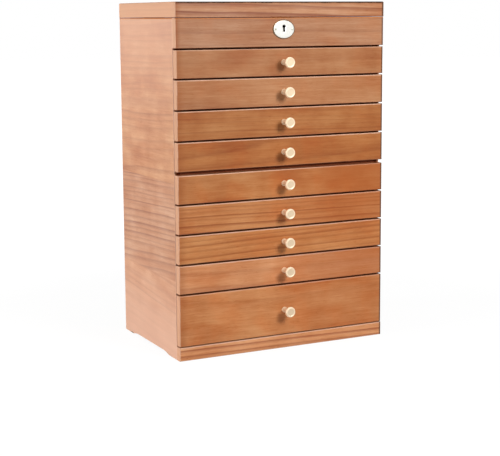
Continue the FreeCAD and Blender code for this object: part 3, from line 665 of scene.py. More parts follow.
def turned(name, outline, centre, axis):
    """A lathe shape: outline is radius and distance along axis, and each point is swung round the axis.

    The ends of the outline are close to the axis and are closed with small flat faces. The UV map holds the
    angle as a share of a turn and the length of outline passed, in mm.
    """
    outline = np.array(outline, float)
    angle = np.linspace(0, 2 * math.pi, LATHE_SIDES, endpoint=False)
    axis = np.array(axis, float)
    side = np.array([1.0, 0.0, 0.0])
    up = np.cross(axis, side)
    ring = np.cos(angle)[:, None] * side + np.sin(angle)[:, None] * up
    grid = outline[:, 0, None, None] * ring + outline[:, 1, None, None] * axis
    passed = np.array(outline_passed(outline))
    uv = np.stack(np.broadcast_arrays((angle / (2 * math.pi))[None, :], passed[:, None]), -1)
    return grid_piece(name, grid * MM + np.array(centre), uv=uv)


def clustered(low, high, edge, steps, count):
    """Positions from low to high, close together within edge of both ends and evenly spaced between."""
    near = edge * (1 - np.cos(np.linspace(0, math.pi / 2, steps + 1)))
    middle = np.linspace(low + edge, high - edge, count + 2)[1:-1]
    return np.concatenate([low + near, middle, (high - near)[::-1]])


def rolled(distance, edge):
    """How far a rolled edge has dropped at a distance in from its border: a quarter circle of radius edge."""
    inside = np.clip(1 - distance / edge, 0, 1)
    return edge * (1 - np.sqrt(1 - inside**2))


def slab(name, low, high, edge, lift, steps=5, count=(14, 14), round_x=True, round_y=True):
    """A soft slab: section loops in X and Z follow each other along Y.

    The upper side lies at the top, less the drop of a rolled edge, plus lift(share across, share along), and
    never above the top. The under side is flat.
    """
    xs = clustered(low[0], high[0], edge, steps, count[0])
    ys = clustered(low[1], high[1], edge, steps, count[1])
    x, y = np.meshgrid(xs, ys)
    drop_x = rolled(np.minimum(x - low[0], high[0] - x), edge) if round_x else 0 * x
    drop_y = rolled(np.minimum(y - low[1], high[1] - y), edge) if round_y else 0 * y
    share_x = (x - low[0]) / (high[0] - low[0])
    share_y = (y - low[1]) / (high[1] - low[1])
    top = high[2] - np.maximum(drop_x, drop_y) + lift(share_x, share_y)
    upper = np.stack([x, y, np.minimum(top, high[2])], -1)
    under = np.stack([x, y, np.full_like(x, low[2])], -1)
    return grid_piece(name, np.concatenate([upper, under[:, ::-1]], 1))


def band(name, low, high, section, count=12):
    """A closed band round a rectangle: section is the distance in from the rectangle and the height."""
    inset, height = np.array(section, float).T
    corners = np.array([(-1, -1), (1, -1), (1, 1), (-1, 1)])
    share = np.linspace(0, 1, count, endpoint=False)[:, None]
    loop = np.concatenate([a + (b - a) * share for a, b in zip(corners, np.roll(corners, -1, 0))])
    middle = (np.array(low[:2]) + np.array(high[:2])) / 2
    half = (np.array(high[:2]) - np.array(low[:2])) / 2
    plan = middle + loop[:, None, :] * (half - inset[None, :, None])
    level = np.broadcast_to(height[None, :, None], plan.shape[:2] + (1,))
    return grid_piece(name, np.concatenate([plan, level], -1), wrap_rows=True)


def rounded_section(width, bottom, top, edge, steps=6):
    """Section of a strip: flat below, with both upper edges rolled over, as inset and height."""
    turn = np.linspace(0, math.pi / 2, steps + 1)
    outer = np.stack([edge * (1 - np.cos(turn)), top - edge * (1 - np.sin(turn))], -1)
    inner = np.stack([width - outer[::-1, 0], outer[::-1, 1]], -1)
    return np.concatenate([[[0, bottom]], outer, inner, [[width, bottom]]])


def joined_pieces(name, pieces):
    """Several meshes as one piece."""
    bpy.ops.object.select_all(action="DESELECT")
    for piece in pieces:
        piece.select_set(True)
    bpy.context.view_layer.objects.active = pieces[0]
    bpy.ops.object.join()
    pieces[0].name = name
    return pieces[0]


def place(piece, material, body, slot, nodes):
    """Finishes a new piece: its material, the body it rides on and the CAD nodes it stands for. slot is not
    used.
    """
    piece.data.materials.clear()
    piece.data.materials.append(material)
    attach(piece, body)
    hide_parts(*nodes)


# Metal, velvet and glass


def metal(name, colour, roughness, marks, wear=0.0, metallic=1.0, overlays=None):
    """Metal with fine marks: marks(tree) gives a value from -1 to 1 that moves roughness and relief.

    overlays(tree, position) gives pairs of a factor and a colour that go over the metal in turn.
    """
    material, tree, shader = new_material(name)
    mark = marks(tree)
    position = object_position(tree)
    cloud = tree.swing(position, (0.009, 0.009, 0.009), 3.0)
    dull = tree.math("MULTIPLY_ADD", cloud, 0.5, 0.5)
    tint = tuple(c * 0.80 for c in colour)
    tone = tree.blend(tree.math("MULTIPLY", dull, 0.35 + wear), opaque(colour), opaque(tint))
    for factor, shade in overlays(tree, position) if overlays else ():
        tone = tree.blend(factor, tone, opaque(shade))
    tree.feed(shader.inputs["Base Color"], tone)
    rough = tree.math("MULTIPLY_ADD", mark, 0.05, roughness)
    tree.feed(shader.inputs["Roughness"], tree.math("MULTIPLY_ADD", cloud, 0.05, rough))
    tree.relief(shader, mark, 0.12, 0.00004)
    shader.inputs["Metallic"].default_value = metallic
    return material


def lathe_marks(tree):
    """Fine rings left by turning: noise that changes only along the outline."""
    uv = tree.node("ShaderNodeTexCoord").outputs["UV"]
    length = tree.split(uv)[1]
    return tree.swing(tree.joined(0.0, length, 0.0), (1.0, 0.12, 1.0), 2.0)


def brushed_marks(tree):
    """Long fine scratches along X."""
    return tree.swing(object_position(tree), (0.012, 0.00025, 0.00025), 2.0)


def lining_velvet(context):
    """Short pile, made once: dark cloth with a pale sheen, soft crushed patches and a fine nap."""
    made = bpy.data.materials.get("velvet")
    if made:
        return made
    material, tree, shader = new_material("velvet")
    position = object_position(tree)
    crushed = tree.swing(position, (0.045, 0.03, 0.03), 3.0)
    nap = tree.swing(position, (0.0007, 0.0007, 0.0007), 2.0)
    level = tree.math("MULTIPLY_ADD", crushed, 0.35, tree.math("MULTIPLY_ADD", nap, 0.35, 1.0))
    tree.feed(shader.inputs["Base Color"], tree.scaled(tuple(context.scene.chest_lining.velvet), level))
    tree.relief(shader, nap, 0.5, 0.0003)
    shader.inputs["Roughness"].default_value = 0.95
    shader.inputs["Sheen Weight"].default_value = 0.7
    shader.inputs["Sheen Roughness"].default_value = 0.35
    shader.inputs["Sheen Tint"].default_value = (0.75, 0.68, 0.64, 1.0)
    return material


def mirror_glass():
    """Silvered glass, with faint cloudiness in its tone and roughness."""
    material, tree, shader = new_material("mirror_glass")
    haze = tree.swing(object_position(tree), (0.03, 0.03, 0.03), 2.0)
    tree.feed(shader.inputs["Roughness"], tree.math("MULTIPLY_ADD", haze, 0.006, 0.018))
    silver = tree.blend(tree.ease(haze, -1.0, 1.0), (0.90, 0.92, 0.915, 1.0), (0.93, 0.945, 0.94, 1.0))
    tree.feed(shader.inputs["Base Color"], silver)
    shader.inputs["Metallic"].default_value = 1.0
    return material


# Operators


class ChestOperator(Operator):
    """A step in finishing the chest."""

    bl_options = {"REGISTER", "UNDO"}


class CHEST_OT_finish_case(ChestOperator):
    """Stain and lacquer the fixed boards of the case"""

    bl_idname = "chest.finish_case"
    bl_label = "Finish case boards"

    def execute(self, context):
        wood = context.scene.chest_wood
        for side, name in ((-1, "side_panel_left"), (1, "side_panel_right")):
            self.finish_side(side, name, wood)
        self.finish_rail(wood)
        self.finish_plinth(wood)
        self.finish_shelf(wood)
        back = Board(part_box("back_rail"), "X", pith=(-60.0, 90.0), tilt=(0.4, 0.3), contrast=0.5)
        coat_node("back_rail", finish_wood("stained_back_rail", [back], wood))
        bare = {"back_panel": "Z", "tray_floor": "X", "base_board": "X", "drawer_runners": "Y"}
        for node, grain in bare.items():
            board = Board(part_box(node), grain, pith=(160.0, 60.0), tilt=(0.5, 1.5), spacing=1.6, contrast=0.5,
                          wave=6.0, wear=0.3)
            coat_node(node, finish_wood(f"pine_{node}", [board], wood, bare=True))
        return {"FINISHED"}

    def finish_side(self, side, name, wood):
        """Three boards glued edge to edge, with painted shade on the front edge that shows through the gaps."""
        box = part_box(name)
        outer = max(-box[0].x, box[1].x)
        # The grey of these cuts is partly painted sheen, the glancing reflection of the bright room
        cuts = [
            Board(box, "Y", pith=(-150.0 * side, -40.0), tilt=(0.5, 1.0), spacing=1.5, contrast=0.4, wave=6.0,
                  depth=0.02, grey=0.035, blotch=0.22, streak=0.18, red=0.2),
            Board(box, "Y", pith=(-50.0 * side, -150.0), tilt=(2.5, 1.0), spacing=1.25, contrast=0.7,
                  wave=5.0, depth=0.09, grey=0.08, blotch=0.20, streak=0.18, red=0.2),
            Board(box, "Y", pith=(-160.0 * side, 60.0), tilt=(-3.0, 1.0), spacing=2.0, contrast=0.5, wave=5.0,
                  grey=0.075, blotch=0.20, streak=0.18, red=0.2),
        ]

        def glued(tree, position):
            """Below each glue line the next board begins."""
            height = tree.split(position)[2]
            return [tree.ease(height, line + 0.0005, line - 0.0005) for line in GLUE_LINES]

        def shades(tree, position):
            """Painted sheen low down and near the top, painted shade on the front edge and a painted shadow
            near the back foot.
            """
            x, y, z = tree.split(position)
            away = tree.math("ABSOLUTE", x)
            within = tree.ease(away, outer - 0.0032, outer - 0.0022, 1.0, 0.0)
            outside = tree.ease(away, outer - 0.0022, outer - 0.0012)
            # Painted shade on the front edge, which shows only through the gaps between the fronts
            front = tree.ease(y, box[0].y + 0.0004, box[0].y + 0.0012, 1.0, 0.0)
            edge = tree.math("MULTIPLY", within, front)
            # Painted sheen: pale bands low down and near the top
            pale = tree.math("ADD", tree.ease(z, 0.16, 0.0, 0.06, 0.80), tree.ease(z, 0.30, 0.46, 0.0, 0.48))
            # Painted shadow: a dark spot at the foot of the side near the back, where the arch begins
            along = tree.math("MULTIPLY", tree.math("SUBTRACT", y, box[1].y - 0.0265), 0.22)
            foot_shadow = tree.ease(tree.vector("LENGTH", tree.joined(0.0, along, z)), 0.0008, 0.0018, 0.9, 0.0)
            return [(pale, wood.bleached), (edge, wood.pooled), (foot_shadow, (0.05, 0.02, 0.01)),
                    *rim_shades(tree, position, box[1].z, wood, outside, 0.8)]

        material = finish_wood(f"stained_{name}", cuts, wood, switch=glued, edge_width=1.0, overlays=shades)
        coat_node(name, material)

    def finish_rail(self, wood):
        """The rail above the drawers. Round the keyhole, under the plate, the cut gets painted shade where it
        shows through the keyhole.
        """
        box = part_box("lock_rail")
        low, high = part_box("escutcheon_plate")
        keyhole = ((low.x + high.x) / 2, high.y, (low.z + high.z) / 2)
        board = Board(box, "X", pith=(70.0, 40.0), tilt=(0.4, 0.3), spacing=0.9, contrast=0.28, wave=4.0,
                      depth=0.235, grey=0.049)
        shades = front_shades(box, wood, corner=0.6, reach=0.008, line=0.3)

        def overlays(tree, position):
            on_face = tree.ease(tree.split(position)[1], box[0].y + 0.0012, box[0].y + 0.0022, 1.0, 0.0)
            # Painted shade on the cut round the keyhole, under the plate, which shows only through the keyhole
            away = tree.vector("LENGTH", tree.vector("SUBTRACT", position, keyhole))
            return [*shades(tree, position), (tree.ease(away, 0.010, 0.011, 1.0, 0.0), (0.015, 0.006, 0.003)),
                    *rim_shades(tree, position, box[1].z, wood, on_face)]

        material = finish_wood("stained_lock_rail", [board], wood, edge_width=FRONT_EDGE,
                               edge_level=upper_edges(box, 0.2, 0.3), overlays=overlays)
        coat_node("lock_rail", material)

    def finish_plinth(self, wood):
        """Both rails of the plinth, with the edges and ends of the board that shows at the front."""
        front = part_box("lock_rail")[0].y
        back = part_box("mid_shelf")[0].y
        box = (Vector((-HALF_WIDTH, front, 0.0)), Vector((HALF_WIDTH, back, PLINTH_HEIGHT)))
        board = Board(box, "X", pith=(30.0, -70.0), tilt=(0.5, 0.3), spacing=1.5, contrast=0.9, wave=2.0,
                      depth=-0.42, warmth=-0.2, grey=0.055, streak=0.2, red=0.1)
        shades = front_shades(box, wood, pooled=0.0, corner=0.0)
        material = finish_wood("stained_plinth", [board], wood, edge_width=FRONT_EDGE,
                               edge_level=upper_edges(box), overlays=shades)
        coat_node("plinth_rails", material)

    def finish_shelf(self, wood):
        """The fixed shelf, with painted shade on its front edge, which shows between the fourth and the fifth
        drawer.
        """
        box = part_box("mid_shelf")
        shelf = Board(box, "X", pith=(40.0, 90.0), tilt=(0.4, 0.3), contrast=0.5, depth=0.1)

        def front_edge(tree, position):
            # Painted shade on the front edge, which lies in shade behind the fronts
            within = tree.ease(tree.split(position)[1], box[0].y + 0.001, box[0].y + 0.006, 1.0, 0.0)
            return [(within, (0.30, 0.085, 0.035))]

        material = finish_wood("stained_mid_shelf", [shelf], wood, overlays=front_edge)
        coat_node("mid_shelf", material)


def front_shades(box, wood, pooled=1.0, corner=0.35, reach=0.014, line=0.0, right_third=0.0):
    """Painted shade on a front board behind its face, at its foot and on its right corner, pale sawn ends, and
    a darker left end and right third.

    pooled is the strength of the painted shade behind the face and at the foot, and corner that of the left
    end, where the share line lies close to the end and the rest fades out over reach. right_third deepens the
    face to the right. All distances are in metres.
    """
    face, end = box[0].y, box[1].x

    def overlays(tree, position):
        x, y, z = tree.split(position)
        away = tree.math("ABSOLUTE", x)
        # Painted shade on the faces behind the front's face, which show only in the gaps
        within = tree.ease(away, end - 0.0026, end - 0.0018, pooled, 0.0)
        edge = tree.math("MULTIPLY", tree.ease(y, face + 0.0012, face + 0.003),
                         tree.ease(y, face + 0.0038, face + 0.0060, 1.0, 0.12))
        behind = tree.math("MULTIPLY", edge, within)
        on_face = tree.ease(y, face + 0.0006, face + 0.0014, 1.0, 0.0)
        fade = tree.ease(x, 0.0010 - end, reach - end, (1 - line) * corner, 0.0)
        corner_line = tree.ease(x, 0.0012 - end, 0.0030 - end, line * corner, 0.0)
        left = tree.math("MULTIPLY", tree.math("ADD", fade, corner_line), on_face)
        # Painted shade on the right-hand corner, which turns away from the light
        right = tree.math("MULTIPLY", tree.ease(x, end - 0.0036, end - 0.0018, 0.0, 0.9),
                          tree.ease(y, face + 0.0012, face + 0.0028, 1.0, 0.0))
        sawn = tree.ease(away, end - 0.0011, end - 0.0004, 0.0, 0.75)
        # Painted shade on the lower edge, which darkens the gap below
        foot = tree.ease(z, box[0].z + 0.0005, box[0].z + 0.0010, 0.9 * pooled, 0.0)
        deeper = tree.ease(x, -0.05, 0.12, 0.0, right_third)
        return [(deeper, (0.40, 0.095, 0.018)), (left, (0.30, 0.075, 0.020)), (sawn, wood.end_grain),
                (right, wood.smoked), (behind, wood.pooled), (foot, wood.pooled)]
    return overlays


# How each drawer front was cut and stained, how strongly the right third is deepened where it is, and how
# strong the pale upper edge, partly wear and partly painted highlight, is where it isn't at full strength
FRONT_CUTS = {
    1: dict(pith=(90.0, 30.0), tilt=(0.5, 0.6), spacing=1.6, contrast=0.2, wave=4.0, depth=0.195, grey=0.020,
            blotch=0.22, streak=0.16),
    2: dict(pith=(110.0, 15.0), tilt=(0.4, -0.5), spacing=1.3, contrast=0.35, wave=4.0, depth=0.145,
            grey=0.026),
    3: dict(pith=(60.0, -110.0), tilt=(0.7, 0.5), spacing=1.1, contrast=0.4, wave=3.0, depth=0.17,
            warmth=0.22, blotch=0.2, along=260.0),
    4: dict(pith=(60.0, 20.0), tilt=(0.3, 1.5), spacing=1.4, contrast=0.45, wave=5.0, depth=0.14,
            warmth=0.35, red=0.6),
    5: dict(pith=(140.0, -20.0), tilt=(0.3, -0.4), spacing=1.6, contrast=0.3, wave=6.0, depth=-0.02,
            red=0.7, blotch=0.22),
    6: dict(pith=(50.0, -90.0), tilt=(0.6, 0.3), spacing=1.0, contrast=0.8, wave=2.2, depth=-0.10,
            grey=0.007),
    7: dict(pith=(45.0, 80.0), tilt=(-0.9, 0.3), spacing=1.05, contrast=0.55, wave=2.6, depth=-0.12),
    8: dict(pith=(100.0, -40.0), tilt=(0.5, 0.3), spacing=1.3, contrast=0.35, wave=4.0, depth=-0.21,
            grey=0.044),
    9: dict(pith=(130.0, -30.0), tilt=(0.4, 0.6), spacing=1.5, contrast=0.18, wave=6.0, depth=-0.16,
            warmth=0.03, red=0.65, grey=0.015, blotch=0.2, streak=0.16),
}
DEEPENED_FRONTS = {5: 0.6, 6: 0.45, 7: 0.15, 8: 0.55, 9: 0.25}
WORN_AND_LIT_FRONTS = {1: 0.55, 9: 0.55}


class CHEST_OT_finish_fronts(ChestOperator):
    """Stain and lacquer the nine drawer fronts, each cut from its own board"""

    bl_idname = "chest.finish_fronts"
    bl_label = "Finish drawer fronts"

    def execute(self, context):
        wood = context.scene.chest_wood
        for number in DRAWERS:
            node = f"drawer_{number}_front"
            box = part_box(node)
            board = Board(box, "X", **{"along": 37.0 * number, **FRONT_CUTS[number]})
            # The pale upper edge is partly wear and partly a painted highlight where the light above catches it
            rubbed = upper_edges(box, 0.25, WORN_AND_LIT_FRONTS.get(number, 1.0))
            shades = front_shades(box, wood, right_third=DEEPENED_FRONTS.get(number, 0.0))
            material = finish_wood(f"stained_{node}", [board], wood, edge_width=FRONT_EDGE, edge_level=rubbed,
                                   overlays=shades)
            coat_node(node, material)
        return {"FINISHED"}


class CHEST_OT_finish_boxes(ChestOperator):
    """Give the drawer boxes bare pine sides and backs and a thin bottom"""

    bl_idname = "chest.finish_boxes"
    bl_label = "Finish drawer boxes"

    def execute(self, context):
        wood = context.scene.chest_wood
        for number in DRAWERS:
            node = f"drawer_{number}_box"
            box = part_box(node)
            inside = box[1].x - BOX_SIDE

            def along_sides(tree, position):
                away = tree.math("ABSOLUTE", tree.split(position)[0])
                return [tree.math("GREATER_THAN", away, inside)]

            cuts = [
                Board(box, "X", pith=(150.0, 60.0), tilt=(0.5, 0.8), spacing=1.5, contrast=0.5, wave=5.0,
                      depth=-0.03, along=31.0 * number, wear=0.2),
                Board(box, "Y", pith=(70.0, 9.0 * number - 120.0), tilt=(0.8, 0.5), along=23.0 * number,
                      wear=0.2),
            ]
            material = finish_wood(f"pine_{node}", cuts, wood, bare=True, switch=along_sides)
            coat_node(node, material)
        return {"FINISHED"}


class CHEST_OT_finish_lid(ChestOperator):
    """Stain and lacquer the lid's mitred frame and its panel"""

    bl_idname = "chest.finish_lid"
    bl_label = "Finish lid"

    def execute(self, context):
        wood = context.scene.chest_wood
        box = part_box("lid_frame")
        centre, half = (box[0] + box[1]) / 2, (box[1] - box[0]) / 2

        def mitred(tree, position):
            """1 in the side members, where an end of the lid is nearer than its front and its back."""
            away = tree.split(tree.vector("ABSOLUTE", tree.vector("SUBTRACT", position, tuple(centre))))
            to_end = tree.math("SUBTRACT", half.x, away[0])
            to_face = tree.math("SUBTRACT", half.y, away[1])
            return [tree.math("LESS_THAN", to_end, to_face)]

        def top_edges(tree, position):
            """Where the painted shade of the lid's edges shows: full along the top, weaker down the corners and
            none along the bottom.
            """
            x, _, height = tree.split(position)
            upper = tree.ease(height, box[1].z - 0.0040, box[1].z - 0.0022, 0.2, 1.0)
            ends = tree.ease(tree.math("ABSOLUTE", x), half.x - 0.002, half.x - 0.0005, 1.0, 0.45)
            level = tree.math("MULTIPLY", upper, tree.ease(height, box[0].z + 0.001, box[0].z + 0.003))
            return tree.math("MULTIPLY", level, ends)

        cuts = [
            Board(box, "X", pith=(-80.0, -42.0), tilt=(0.9, 0.4), spacing=1.35, contrast=0.85, wave=5.0,
                  depth=0.12, grey=0.055, blotch=0.15, streak=0.30),
            Board(box, "Y", pith=(120.0, -60.0), tilt=(0.5, 0.4), spacing=0.9, contrast=0.4, grey=0.02),
        ]
        shades = front_shades(box, wood, pooled=0.0, corner=0.35, reach=0.010, line=0.1)

        def overlays(tree, position):
            x, y, _ = tree.split(position)
            on_face = tree.ease(y, box[0].y + 0.0012, box[0].y + 0.0022, 1.0, 0.0)
            on_end = tree.ease(tree.math("ABSOLUTE", x), box[1].x - 0.0022, box[1].x - 0.0012)
            outside = tree.math("MAXIMUM", on_face, on_end)
            return shades(tree, position) + rim_shades(tree, position, box[0].z, wood, outside)[1:]

        # Painted shade along the lid's upper edges
        lid_edge_shade = (0.030, 0.014, 0.008)
        material = finish_wood("stained_lid_frame", cuts, wood, switch=mitred, edge_tint=lid_edge_shade,
                               edge_width=2.4, edge_level=top_edges, overlays=overlays)
        coat_node("lid_frame", material)
        panel = Board(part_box("lid_panel"), "X", pith=(20.0, -140.0), tilt=(0.4, 1.2), spacing=1.4,
                      contrast=0.55, wave=6.0, warmth=0.05, wear=0.2)
        coat_node("lid_panel", finish_wood("stained_lid_panel", [panel], wood))
        return {"FINISHED"}


class CHEST_OT_turn_knobs(ChestOperator):
    """Turn the nine brass knobs, each with the screw that holds it"""

    bl_idname = "chest.turn_knobs"
    bl_label = "Turn knobs"

    def execute(self, context):
        colours = context.scene.chest_metal
        outline = knob_outline()
        face_start = outline_passed(outline)[-KNOB_FACE_POINTS]

        def face(tree, position):
            """The duller flat face, which starts where the outline has turned in from the rim."""
            along = tree.split(tree.node("ShaderNodeTexCoord").outputs["UV"])[1]
            return [(tree.ease(along, face_start - 0.25, face_start + 0.1), colours.knob_face)]

        brass = metal("knob_brass", colours.knob, 0.42, lathe_marks, metallic=0.25, overlays=face)
        for number in DRAWERS:
            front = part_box(f"drawer_{number}_front")
            low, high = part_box(f"drawer_{number}_knob")
            centre = (0.0, front[0].y, (low.z + high.z) / 2)
            knob = turned(f"knob_{number}", outline, centre, (0.0, -1.0, 0.0))
            place(knob, brass, f"drawer_{number}", "brass", [f"drawer_{number}_knob"])
        return {"FINISHED"}


# How many of the knob's outline points belong to its dished face
KNOB_FACE_POINTS = 5


def knob_outline():
    """Radius and distance out, in mm: screw head and shank, foot, waist, flare, rim and dished face."""
    parts = [
        [(0.02, -7.6), (1.2, -7.7), (1.2, -8.9)],
        [(3.3, -9.9), (3.6, -9.6), (3.6, -7.6), (2.0, -7.6), (2.0, -0.02), (3.8, -0.02), (4.0, 0.15)],
        arc((4.0, 1.2), (3.3, 4.5), -0.25, 8),
        arc((3.3, 4.5), (6.5, 16.0), -0.6, 16),
        arc((6.5, 16.0), (7.4, 18.1), 0.3, 8),
        arc((7.4, 18.1), (6.2, 20.0), 0.3, 10),
        arc((6.2, 20.0), (4.8, 19.6), 0.1, 6),
        [(4.8, 19.6), (4.7, 19.58), (3.6, 19.6), (1.8, 19.6), (0.02, 19.6)],
    ]
    return np.concatenate([np.array(part, float) for part in parts])


class CHEST_OT_fit_escutcheon(ChestOperator):
    """Cut the oval keyhole plate and its two slotted screws"""

    bl_idname = "chest.fit_escutcheon"
    bl_label = "Fit escutcheon"

    def execute(self, context):
        colours = context.scene.chest_metal
        low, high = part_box("escutcheon_plate")
        half_width, half_height = (high.x - low.x) / 2, (high.z - low.z) / 2
        centre = ((low.x + high.x) / 2, high.y, (low.z + high.z) / 2)
        plate = keyhole_plate("escutcheon", centre, half_width, half_height, high.y - low.y)

        def bevel(tree, position):
            """Distance from the middle as a share of the oval, 1 on its border."""
            away = tree.vector("SUBTRACT", position, (centre[0], 0.0, centre[2]))
            away = tree.vector("MULTIPLY", away, (1 / half_width, 0.0, 1 / half_height))
            # Painted reflection: the bevel is darkened to stand in for the dark that it reflects
            return [(tree.ease(tree.vector("LENGTH", away), 0.89, 0.93), colours.bevel)]

        plate_brass = metal("plate_brass", colours.plate, 0.22, brushed_marks, metallic=0.5, overlays=bevel)
        place(plate, plate_brass, "case", "brass", ["escutcheon_plate"])
        screws = []
        for side in (-1, 1):
            spot = (side * SCREW_FROM_MIDDLE, low.y, centre[2])
            slot_turn = 0.6 + 0.35 * side
            screws.append(slotted_head(f"escutcheon_screw_{side}", spot, SCREW_HEAD_RADIUS, slot_turn))
        heads = joined_pieces("escutcheon_screw_heads", screws)
        screw_brass = metal("screw_brass", (0.50, 0.50, 0.40), 0.35, brushed_marks)
        place(heads, screw_brass, "case", "brass", ["escutcheon_screws"])
        return {"FINISHED"}


def keyhole_outline(angle):
    """Radius in mm of the keyhole about a point in its neck.

    It is the further of two: where a ray leaves the round eye, and where it leaves the slot.
    """
    rise, eye, half, foot = 2.4, 2.35, 1.4, 5.1
    sine, cosine = np.sin(angle), np.cos(angle)
    root = np.sqrt(np.maximum(eye**2 - (rise * cosine) ** 2, 0))
    round_part = np.where(eye**2 > (rise * cosine) ** 2, rise * sine + root, 0)
    to_side = half / np.maximum(np.abs(cosine), 1e-6)
    to_foot = np.where(sine < 0, foot / np.maximum(-sine, 1e-6), rise / np.maximum(sine, 1e-6))
    return np.maximum(round_part, np.minimum(to_side, to_foot))


def keyhole_plate(name, centre, half_width, half_height, thickness):
    """The plate's section runs from the back of the hole over its lip and face to the bevelled rim.

    At every angle the section's share goes from the keyhole's outline at 0 to the oval at 1, and its depth is
    the distance out from the rail, as a share of the thickness.
    """
    angle = np.linspace(0, 2 * math.pi, 180, endpoint=False)
    around = np.stack([np.cos(angle), np.sin(angle)], -1)
    neck_rise = 1.4
    hole = (keyhole_outline(angle)[:, None] * around + np.array([0.0, neck_rise])) * MM
    oval = around * np.array([half_width, half_height])
    section = np.array([
        (0.0, 0.0), (0.0, 0.9), (0.012, 0.97), (0.03, 1.0), (0.2, 1.0), (0.4, 1.0), (0.6, 1.0), (0.8, 0.99),
        (0.905, 0.97), (0.925, 0.93), (0.945, 0.84), (0.965, 0.7), (0.985, 0.52), (1.0, 0.36), (1.0, 0.08),
        (0.99, 0.0)])
    share, depth = section[:, 0], section[:, 1] * thickness
    plan = hole[:, None, :] * (1 - share)[None, :, None] + oval[:, None, :] * share[None, :, None]
    grid = np.stack([centre[0] + plan[..., 0], np.broadcast_to(centre[1] - depth, plan.shape[:2]),
                     centre[2] + plan[..., 1]], -1)
    return grid_piece(name, grid, wrap_rows=True, sharp=25.0)


def slotted_head(name, spot, radius, turn):
    """A domed screw head: chords of a circle side by side, raised to a dome and sunk where the slot is.

    radius is in mm, and turn is the slot's angle. The dome is height times the root of 1 - 0.9 r squared.
    """
    width, sunk, height = 0.32, 0.45, 0.75
    outer = radius * np.array([0.6, 0.85, 0.97, 0.999])
    right = np.concatenate([[width - 0.01, width + 0.01], outer])
    across = np.concatenate([-right[::-1], [0.0], right])
    along = np.sin(np.linspace(-math.pi / 2, math.pi / 2, 17))
    x, share = np.meshgrid(across, along, indexing="ij")
    y = share * np.sqrt(radius**2 - x**2)
    dome = height * np.sqrt(np.maximum(1 - 0.9 * (x**2 + y**2) / radius**2, 0))
    dome = dome - np.where(np.abs(x) < width, sunk, 0)
    upper = np.stack([x, y, dome], -1)
    under = np.stack([x, y, np.full_like(x, -0.1)], -1)
    grid = np.concatenate([upper, under[:, ::-1]], 1)
    c, s = math.cos(turn), math.sin(turn)
    flat = np.stack([grid[..., 0] * c - grid[..., 1] * s, -grid[..., 2],
                     grid[..., 0] * s + grid[..., 1] * c], -1)
    return grid_piece(name, flat * MM + np.array(spot), sharp=30.0)


class CHEST_OT_finish_metalwork(ChestOperator):
    """Give the hinges, the lock and the strike plate their metal"""

    bl_idname = "chest.finish_metalwork"
    bl_label = "Finish hinges and lock"

    def execute(self, context):
        colour = context.scene.chest_metal.brass
        worn = metal("hinge_brass", colour, 0.3, brushed_marks, 0.2)
        for node in ("hinge_lower_leaves", "hinge_upper_leaves", "strike_plate"):
            coat_node(node, worn)
        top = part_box("escutcheon_plate")[1].z

        def works(tree, position):
            """Painted shade on the lock's inside, seen through the keyhole: all that lies below its top plate.
            """
            return [(tree.ease(tree.split(position)[2], top - 0.001, top - 0.002), (0.02, 0.014, 0.01))]

        coat_node("lock_case", metal("lock_brass", colour, 0.35, brushed_marks, 0.2, overlays=works))
        bright = metal("pin_brass", colour, 0.2, brushed_marks, 0.1)
        for node in ("hinge_pins", "lock_bolt"):
            coat_node(node, bright)
        return {"FINISHED"}


def cloth_ripple(crown):
    """A pad's face: a low crown across and along, and a slow unevenness of a few hundredths of a millimetre.

    The crown is the product of two parabolas that are 0 at the borders and 1 in the middle.
    """

    def lift(u, v):
        dome = crown * (16 * u * (1 - u) * v * (1 - v) - 1)
        return dome + 0.00006 * (np.sin(9 * u + 2) * np.sin(7 * v + 1) - 1)
    return lift


def no_lift(u, v):
    """The face of a plain slab."""
    return 0 * u


def line_box(name, node, body, context):
    """A floor pad and a band of four wall pads, which fill the CAD lining's box. Returns the pad's top."""
    low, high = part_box(node)
    pad_top = low.z + PAD_THICKNESS
    crown = cloth_ripple(context.scene.chest_lining.crown)
    pad = slab(f"{name}_pad", low, (high.x, high.y, pad_top), PAD_ROUND, crown)
    section = rounded_section(LINER_THICKNESS, pad_top - LINER_INTO_PAD, high.z, LINER_ROUND)
    wall = band(f"{name}_walls", low, high, section)
    whole = joined_pieces(name, [pad, wall])
    place(whole, lining_velvet(context), body, "velvet", [node])
    return pad_top


def slat(name, low, high, body, context, nodes=()):
    """A divider: a thin upright slab whose top is rolled over."""
    along_y = high[0] - low[0] < high[1] - low[1]
    count = (2, 24) if along_y else (24, 2)
    piece = slab(name, low, high, SLAT_ROUND, no_lift, 6, count, along_y, not along_y)
    place(piece, lining_velvet(context), body, "velvet", nodes)


def cross_slats(name, reach, front, back, bottom, top, body, context):
    """Two dividers that run back and cut the width from -reach to reach in three."""
    for side, word in ((-1, "left"), (1, "right")):
        left = side * reach / 3 - SLAT_THICKNESS / 2
        slat(f"{name}_{word}", (left, front, bottom), (left + SLAT_THICKNESS, back, top), body, context)


class CHEST_OT_line_drawers(ChestOperator):
    """Line the nine drawers with velvet, and put dividers in the upper ones"""

    bl_idname = "chest.line_drawers"
    bl_label = "Line drawers"

    def execute(self, context):
        for number in DRAWERS:
            body = f"drawer_{number}"
            pad_top = line_box(f"{body}_velvet", f"{body}_lining", body, context)
            if number in DIVIDED_DRAWERS:
                low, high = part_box(f"{body}_lining")
                cross_slats(f"{body}_slat", high.x - LINER_THICKNESS, low.y + LINER_THICKNESS,
                            high.y - LINER_THICKNESS, pad_top - LINER_INTO_PAD, high.z - SLAT_BELOW_RIM, body,
                            context)
        return {"FINISHED"}


